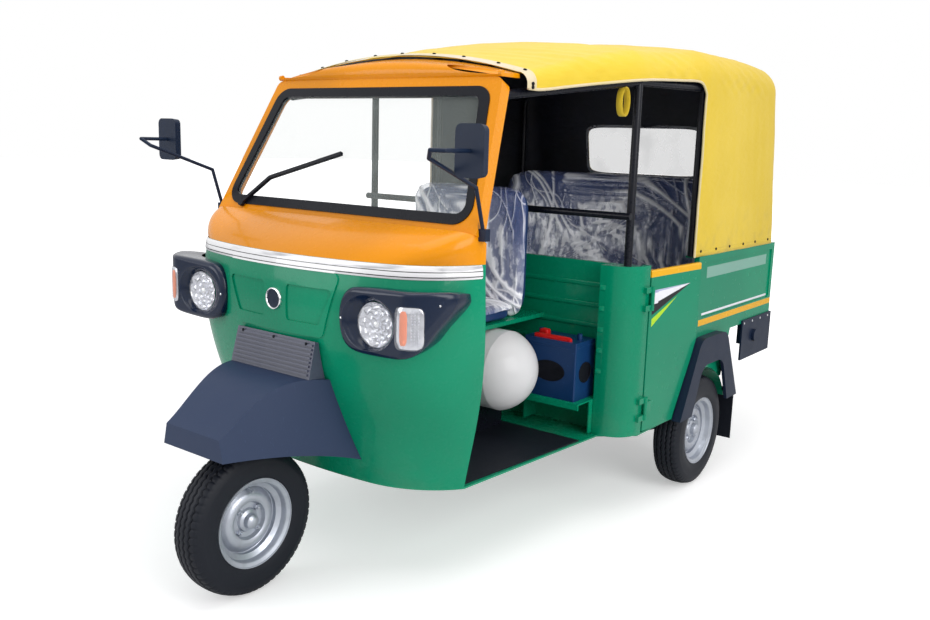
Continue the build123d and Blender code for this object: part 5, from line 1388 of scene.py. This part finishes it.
# For each node: the pad's name; its low corner, high corner, thin axis and lean; its channels
# and the size of a voxel.
seat_table = {
    "driver_cushion": (
        "driver_seat_pad",
        ((-0.265, 0.806, 0.779), (0.265, 1.088, 0.846), "Z", 0),
        (driver_channels, 0.009),
    ),
    "driver_backrest": (
        "driver_back_pad",
        ((-0.265, 1.094, 0.782), (0.265, 1.178, 1.266), "Y", 0),
        (driver_channels, 0.009),
    ),
    "bench_cushion": (
        "bench_seat_pad",
        ((-0.567, 1.742, 0.692), (0.567, 2.106, 0.797), "Z", 0),
        (bench_channels, 0.013),
    ),
    "bench_backrest": (
        "bench_back_pad",
        ((-0.567, 2.114, 0.694), (0.567, 2.226, 1.296), "Y", bench_lean),
        (bench_channels, 0.013),
    ),
}
for node_name, (pad_name, space, (channels, voxel)) in seat_table.items():
    low, high, thin, lean = space
    surface = pad_surface(low, high, thin, lean=lean)
    pad = piece(pad_name, [(surface, False, True)], seat_vinyl, crease=70)
    puff(pad, voxel, cap=0.007)
    press_channels(pad.data, channels, thin, depth=0.005, width=0.007)
    finer = pad.modifiers.new("soft cover", "SUBSURF")
    finer.levels = finer.render_levels = 1
    if not pad.data.materials:
        pad.data.materials.append(seat_vinyl)
    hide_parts(node_name)
    print(pad_name, "faces:", len(pad.data.polygons))


# %% [markdown]
# ## Film over the seats
# New seats still wear the clear film they were delivered in. It is thin and stiff, so it stands
# off the vinyl in sharp creases and long sweeping folds. White streaks of painted highlight lie
# on the folds and on crumpled patches. Each sheet is the pad's own surface lifted a little, with
# folds added as ridged waves. The height of the folds is kept as an attribute, so that the
# material paints highlights on them.

# %% Film over the seats
def film_finish(name):
    """Clear film: see-through where it lies flat.

    The white on its folds and on crumpled patches is painted highlight, and it makes the film
    less see-through there.
    """
    f = Finish(name)
    fold = f.node("ShaderNodeAttribute", output="Fac", attribute_name="fold")
    fine = f.noise(42.0, 5.0, (1.0, 1.0, 0.6))
    # Painted highlight: crumpled patches, fading out higher up and towards the left.
    crumple_highlight = f.noise(3.4, 2.0).ramp(0.34, 0.58) * (1 - f.axis("Z").ramp(1.14, 1.24) * 0.8)
    crumple_highlight = crumple_highlight * (1 - f.axis("X").ramp(0.20, 0.38) * 0.8)
    # The white mask is painted highlight on the fold crests and the crumpled patches.
    white = fold.ramp(0.25, 0.80) * 0.90 + crumple_highlight * (0.38 + 0.62 * fine.ramp(0.42, 0.60))
    white = white.math("MINIMUM", 1.0)
    return f.set(
        Base_Color=f.blend(white, colour(0.14, 0.18, 0.40), colour(0.92, 0.93, 0.99)),
        Alpha=0.42 + 0.56 * white,
        Roughness=0.10 + 0.12 * fine,
        Normal=f.bump(fine, 0.5, 0.006),
        Specular_IOR_Level=0.6,
    )


def fold_height(points, seed, sweep):
    """Sharp-topped waves in a few directions: 0 between the folds, near 1 along a crest."""
    dice = np.random.default_rng(seed)
    x, y, z = np.moveaxis(points, -1, 0)
    height = np.zeros(x.shape)
    for size, share in ((0.26, 1.0), (0.12, 0.7), (0.05, 0.35)):
        bend = 1.6 * ripple(points, size * 2.2, 7, seed + 1)
        for _ in range(3):
            turn = dice.uniform(-0.8, 0.8) + sweep
            slant = x * np.cos(turn) + z * np.sin(turn) + 0.4 * y
            wave = np.sin(slant * np.pi / size + dice.uniform(0, 6) + bend)
            height = np.maximum(height, share * (1 - np.abs(wave)) ** 5)
    return height


def film_over(name, space, lift, seed, tall, sweep, columns):
    """A film over a pad's face and round its edges, with the height of its folds."""
    low, high, thin, lean = space
    low = np.asarray(low) - lift
    high = np.asarray(high) + lift
    grid = pad_surface(low, high, thin, rows=70, columns=columns, lean=lean, start=0.02)
    away = unit((grid - from_axle((low + high) / 2)) / ((high - low) ** 2 / 4))
    face_way = np.array([0, -1, 0] if thin == "Y" else [0, 0, 1])
    height = fold_height(grid, seed, sweep)
    lifted = grid + unit(away * 0.5 + face_way) * (0.003 + tall * height)[..., None]
    film = piece(name, [(lifted, False, True)], seat_film, crease=50)
    nearest = KDTree(height.size)
    for number, point in enumerate(lifted.reshape(-1, 3)):
        nearest.insert(point, number)
    nearest.balance()
    kept = [nearest.find(point)[1] for point in vertex_rows(film.data)]
    fold = film.data.attributes.new("fold", "FLOAT", "POINT")
    fold.data.foreach_set("value", height.ravel()[kept])
    return film


seat_film = film_finish("seat_film")
# Columns: film's name, the pad's node, lift, seed, tallest fold, sweep of the folds, columns
# round the pad, flat size.
film_table = [
    ("driver_back_film", "driver_backrest", 0.006, 21, 0.009, 0.3, 280, (0.72, 0.66)),
    ("driver_seat_film", "driver_cushion", 0.005, 22, 0.006, 1.2, 200, (0.70, 0.46)),
    ("bench_back_film", "bench_backrest", 0.007, 23, 0.013, 0.5, 360, (1.44, 0.86)),
    ("bench_seat_film", "bench_cushion", 0.006, 24, 0.008, 1.3, 260, (1.36, 0.62)),
]
for film_name, node_name, lift, seed, tall, sweep, columns, flat in film_table:
    pad_name, space, _ = seat_table[node_name]
    film = film_over(film_name, space, lift, seed, tall, sweep, columns)

# %% [markdown]
# ## Battery trim
# The battery wears a dark oval panel on its face and on its side, a ridge round its lid, a red
# cover over one terminal and a red bar that holds it down, so it reads as a battery and not as a
# box.

# %% Battery trim
battery_low, battery_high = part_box("battery")
battery_middle = (battery_low + battery_high) / 2
battery_half = (battery_high - battery_low) / 2
oval = circle(lamp_turn) * [0.070, 0.040]
oval_levels = [(1.0, -0.001), (1.0, 0.0022), (0.94, 0.0030), (0.90, 0.0012), (0.0, 0.0012)]
oval_z = battery_middle.z - 0.02
front_place = (battery_middle.x, battery_low.y, oval_z)
side_place = (battery_high.x, battery_middle.y, oval_z)
ovals = [
    button(oval, oval_levels, front_place),
    button(oval * [0.62, 1.0], oval_levels, side_place, (0, 1, 0)),
]
piece("battery_panels", ovals, matte_black)

lid_outline = rounded(battery_half.x, battery_half.y, 0.012, 96)
lid_levels = [(0.99, 0.0), (1.015, 0.001), (1.015, 0.010), (0.99, 0.012)]
lid_place = (battery_middle.x, battery_middle.y, battery_high.z - 0.050)
cover_outline = rounded(0.020, 0.016, 0.008)
cap_levels = [(1.0, 0.0), (1.0, 0.014), (0.9, 0.020), (0.5, 0.023), (0.0, 0.024)]
top = battery_high.z - 0.024
cover_place = (battery_low.x + 0.045, battery_middle.y, top)
bar_outline = rounded(0.085, 0.011, 0.009, 64)
bar_levels = [(1.0, 0.0), (1.0, 0.010), (0.9, 0.014), (0.0, 0.015)]
bar_place = (battery_middle.x, battery_low.y + 0.02, top)
battery_trim = [
    ("battery_lid_ridge", lid_outline, lid_levels, lid_place, battery_plastic),
    ("red_terminal_cover", cover_outline, cap_levels, cover_place, red_plastic),
    ("red_hold_down_bar", bar_outline, bar_levels, bar_place, red_plastic),
]
for trim_name, outline, levels, place, finish in battery_trim:
    piece(trim_name, [button(outline, levels, place, up_way=(0, 1, 0))], finish)
print("battery trim pieces:", len(battery_trim) + 1)

# %% [markdown]
# ## Ribs of the partition
# The wall behind the driver is stiffened by pressed ribs. Rays lay half-round ribs on its face.

# %% Ribs of the partition
rib_heights = (0.60, 0.68, 0.76, 0.84, 0.92)
rib_right = -0.560
rib_left = 0.575
rib_x = np.linspace(rib_right, rib_left, 110)
rib_profile = np.linspace(-1, 1, 9)[:, None]
rib_ends = np.minimum(1, np.minimum(rib_x - rib_right, rib_left - rib_x) / 0.02)
rib_crown = 0.0055 * np.sqrt(np.clip(1 - rib_profile**2, 0, 1)) * np.sqrt(rib_ends) + 0.0003
rib_grids = []
for rib_height in rib_heights:
    rib_z = rib_height + 0.011 * rib_profile
    starts = np.stack(np.broadcast_arrays(rib_x, axle_y + 1.05, rib_z), axis=-1)
    rib_points, _ = laid_on("partition", starts, (0, 1, 0), rib_crown)
    rib_grids.append((rib_points, False, False))
piece("partition_ribs", rib_grids, green_enamel, crease=50)
print("partition ribs:", len(rib_grids))

# %% [markdown]
# ## Screws and small trim
# Small screw heads hold the ribbed plate and the corner guards. Rays find the surface under each.

# %% Screws and small trim
plate_starts = [(x, axle_y - 0.10, 0.815) for x in (-0.150, 0.0, 0.150)]
plate_spots = laid_on("ribbed_plate", plate_starts, (0, 1, 0), 0.0)
plate_heads = domes(*plate_spots, 0.0050, 0.0028)
guard_heads = []
for side in both_sides:
    guard_starts = [(side * 0.90, axle_y + y, 0.652) for y in (2.31, 2.41, 2.51, 2.61)]
    guard_spots = laid_on("corner_guards", guard_starts, (-side, 0, 0), 0.0)
    guard_heads += domes(*guard_spots, 0.0055, 0.0028)
piece("plate_screws", plate_heads, matte_black, crease=50)
piece("guard_screws", guard_heads, bright_metal, crease=50)
print("screws:", len(plate_heads), len(guard_heads))

# %% [markdown]
# ## Mirrors, tail lamps and a strap
# Each mirror head carries a glass on the side that faces the driver. The tail lamps are domed
# lenses in three colours, and a yellow strap loop hangs from the hood's side rail to hold on to.

# %% Mirrors, tail lamps and a strap
mirror_outline = rounded(0.043, 0.062, 0.012)
mirror_levels = [(1.0, 0.0), (1.0, 0.0012), (0.97, 0.0018), (0.0, 0.0020)]
tail_levels = [(1.0, 0.0), (1.0, 0.0170), (0.94, 0.0220), (0.80, 0.0240)]
tail_levels += [(0.5, 0.0248), (0.0, 0.0250)]


def facing_back(outline, levels, x, y, z):
    """The same lens on both sides of the vehicle, facing back."""
    places = [from_axle([side * x, y, z]) for side in both_sides]
    return [button(outline, levels, place, across_way=(-1, 0, 0)) for place in places]


def tail_lens(low, high):
    """A pair of tail lenses between two heights."""
    outline = rounded(0.0325, (high - low) / 2, 0.008)
    return facing_back(outline, tail_levels, 0.630, 2.6485, (low + high) / 2)


mirror_glass = facing_back(mirror_outline, mirror_levels, 0.684, 0.2478, 1.418)
piece("mirror_glass", mirror_glass, reflector_chrome)
tail_red = piece("tail_red_lens", tail_lens(0.815, 0.885), red_plastic)
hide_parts("tail_lamps")
piece("tail_amber_lens", tail_lens(0.888, 0.946), amber_plastic)
piece("tail_clear_lens", tail_lens(0.764, 0.812), white_enamel)

rail_start = from_axle([[0.6215, 1.188, 1.600]])
rail_point = laid_on("hood_frame", rail_start, (0, 0, 1), 0.0)[0][0]
strap_turn = turns(64)
strap_out = np.stack([0 * strap_turn, np.sin(strap_turn), np.cos(strap_turn)], axis=1)
strap_path = strap_out * [0, 0.028, 0.050] + [0, 0, -0.048]
# Columns of the strap's section: across it, out of it.
strap_section = [(-0.013, 0), (-0.010, 0.0018), (0.010, 0.0018)]
strap_section += [(0.013, 0), (0.010, -0.0018), (-0.010, -0.0018)]
strap_rings = [strap_path + [x, 0, 0] + strap_out * out for x, out in strap_section]
strap_grid = np.stack(strap_rings) + rail_point
piece("strap_loop", [(strap_grid, True, True)], hood_yellow, crease=50)
print("strap hangs from", round(float(rail_point[2]), 3))

# %% [markdown]
# ## The floor
# A plain pale sheet under the wheels, far wider than the view. It keeps the vehicle's shadow, and
# glows a little with distance for the camera alone, so that its far edge melts into the white.

# %% The floor
floor_reach = 40.0
floor_finish = Finish("pale_floor")
floor_seen = floor_finish.node("ShaderNodeLightPath", output="Is Camera Ray")
floor_away = floor_finish.node(
    "ShaderNodeVectorMath", {0: floor_finish.place()}, "Value", operation="LENGTH"
)
floor_glow = floor_finish.blend(
    floor_away.ramp(1.8, 5.5), colour(0.40, 0.40, 0.40), colour(1, 1, 1)
)
floor_finish.set(
    Base_Color=colour(0.86, 0.86, 0.87),
    Roughness=0.9,
    Specular_IOR_Level=0.0,
    Emission_Color=floor_finish.blend(floor_seen, colour(0, 0, 0), floor_glow),
    Emission_Strength=1.0,
)
floor_corners = [(-1, -1), (1, -1), (1, 1), (-1, 1)]
floor_mesh = bpy.data.meshes.new("floor")
floor_mesh.from_pydata(
    [(x * floor_reach, y * floor_reach, 0) for x, y in floor_corners], [], [(0, 1, 2, 3)]
)
floor_mesh.materials.append(floor_finish.material)
placed("floor", floor_mesh)
print("floor reaches", floor_reach, "m")
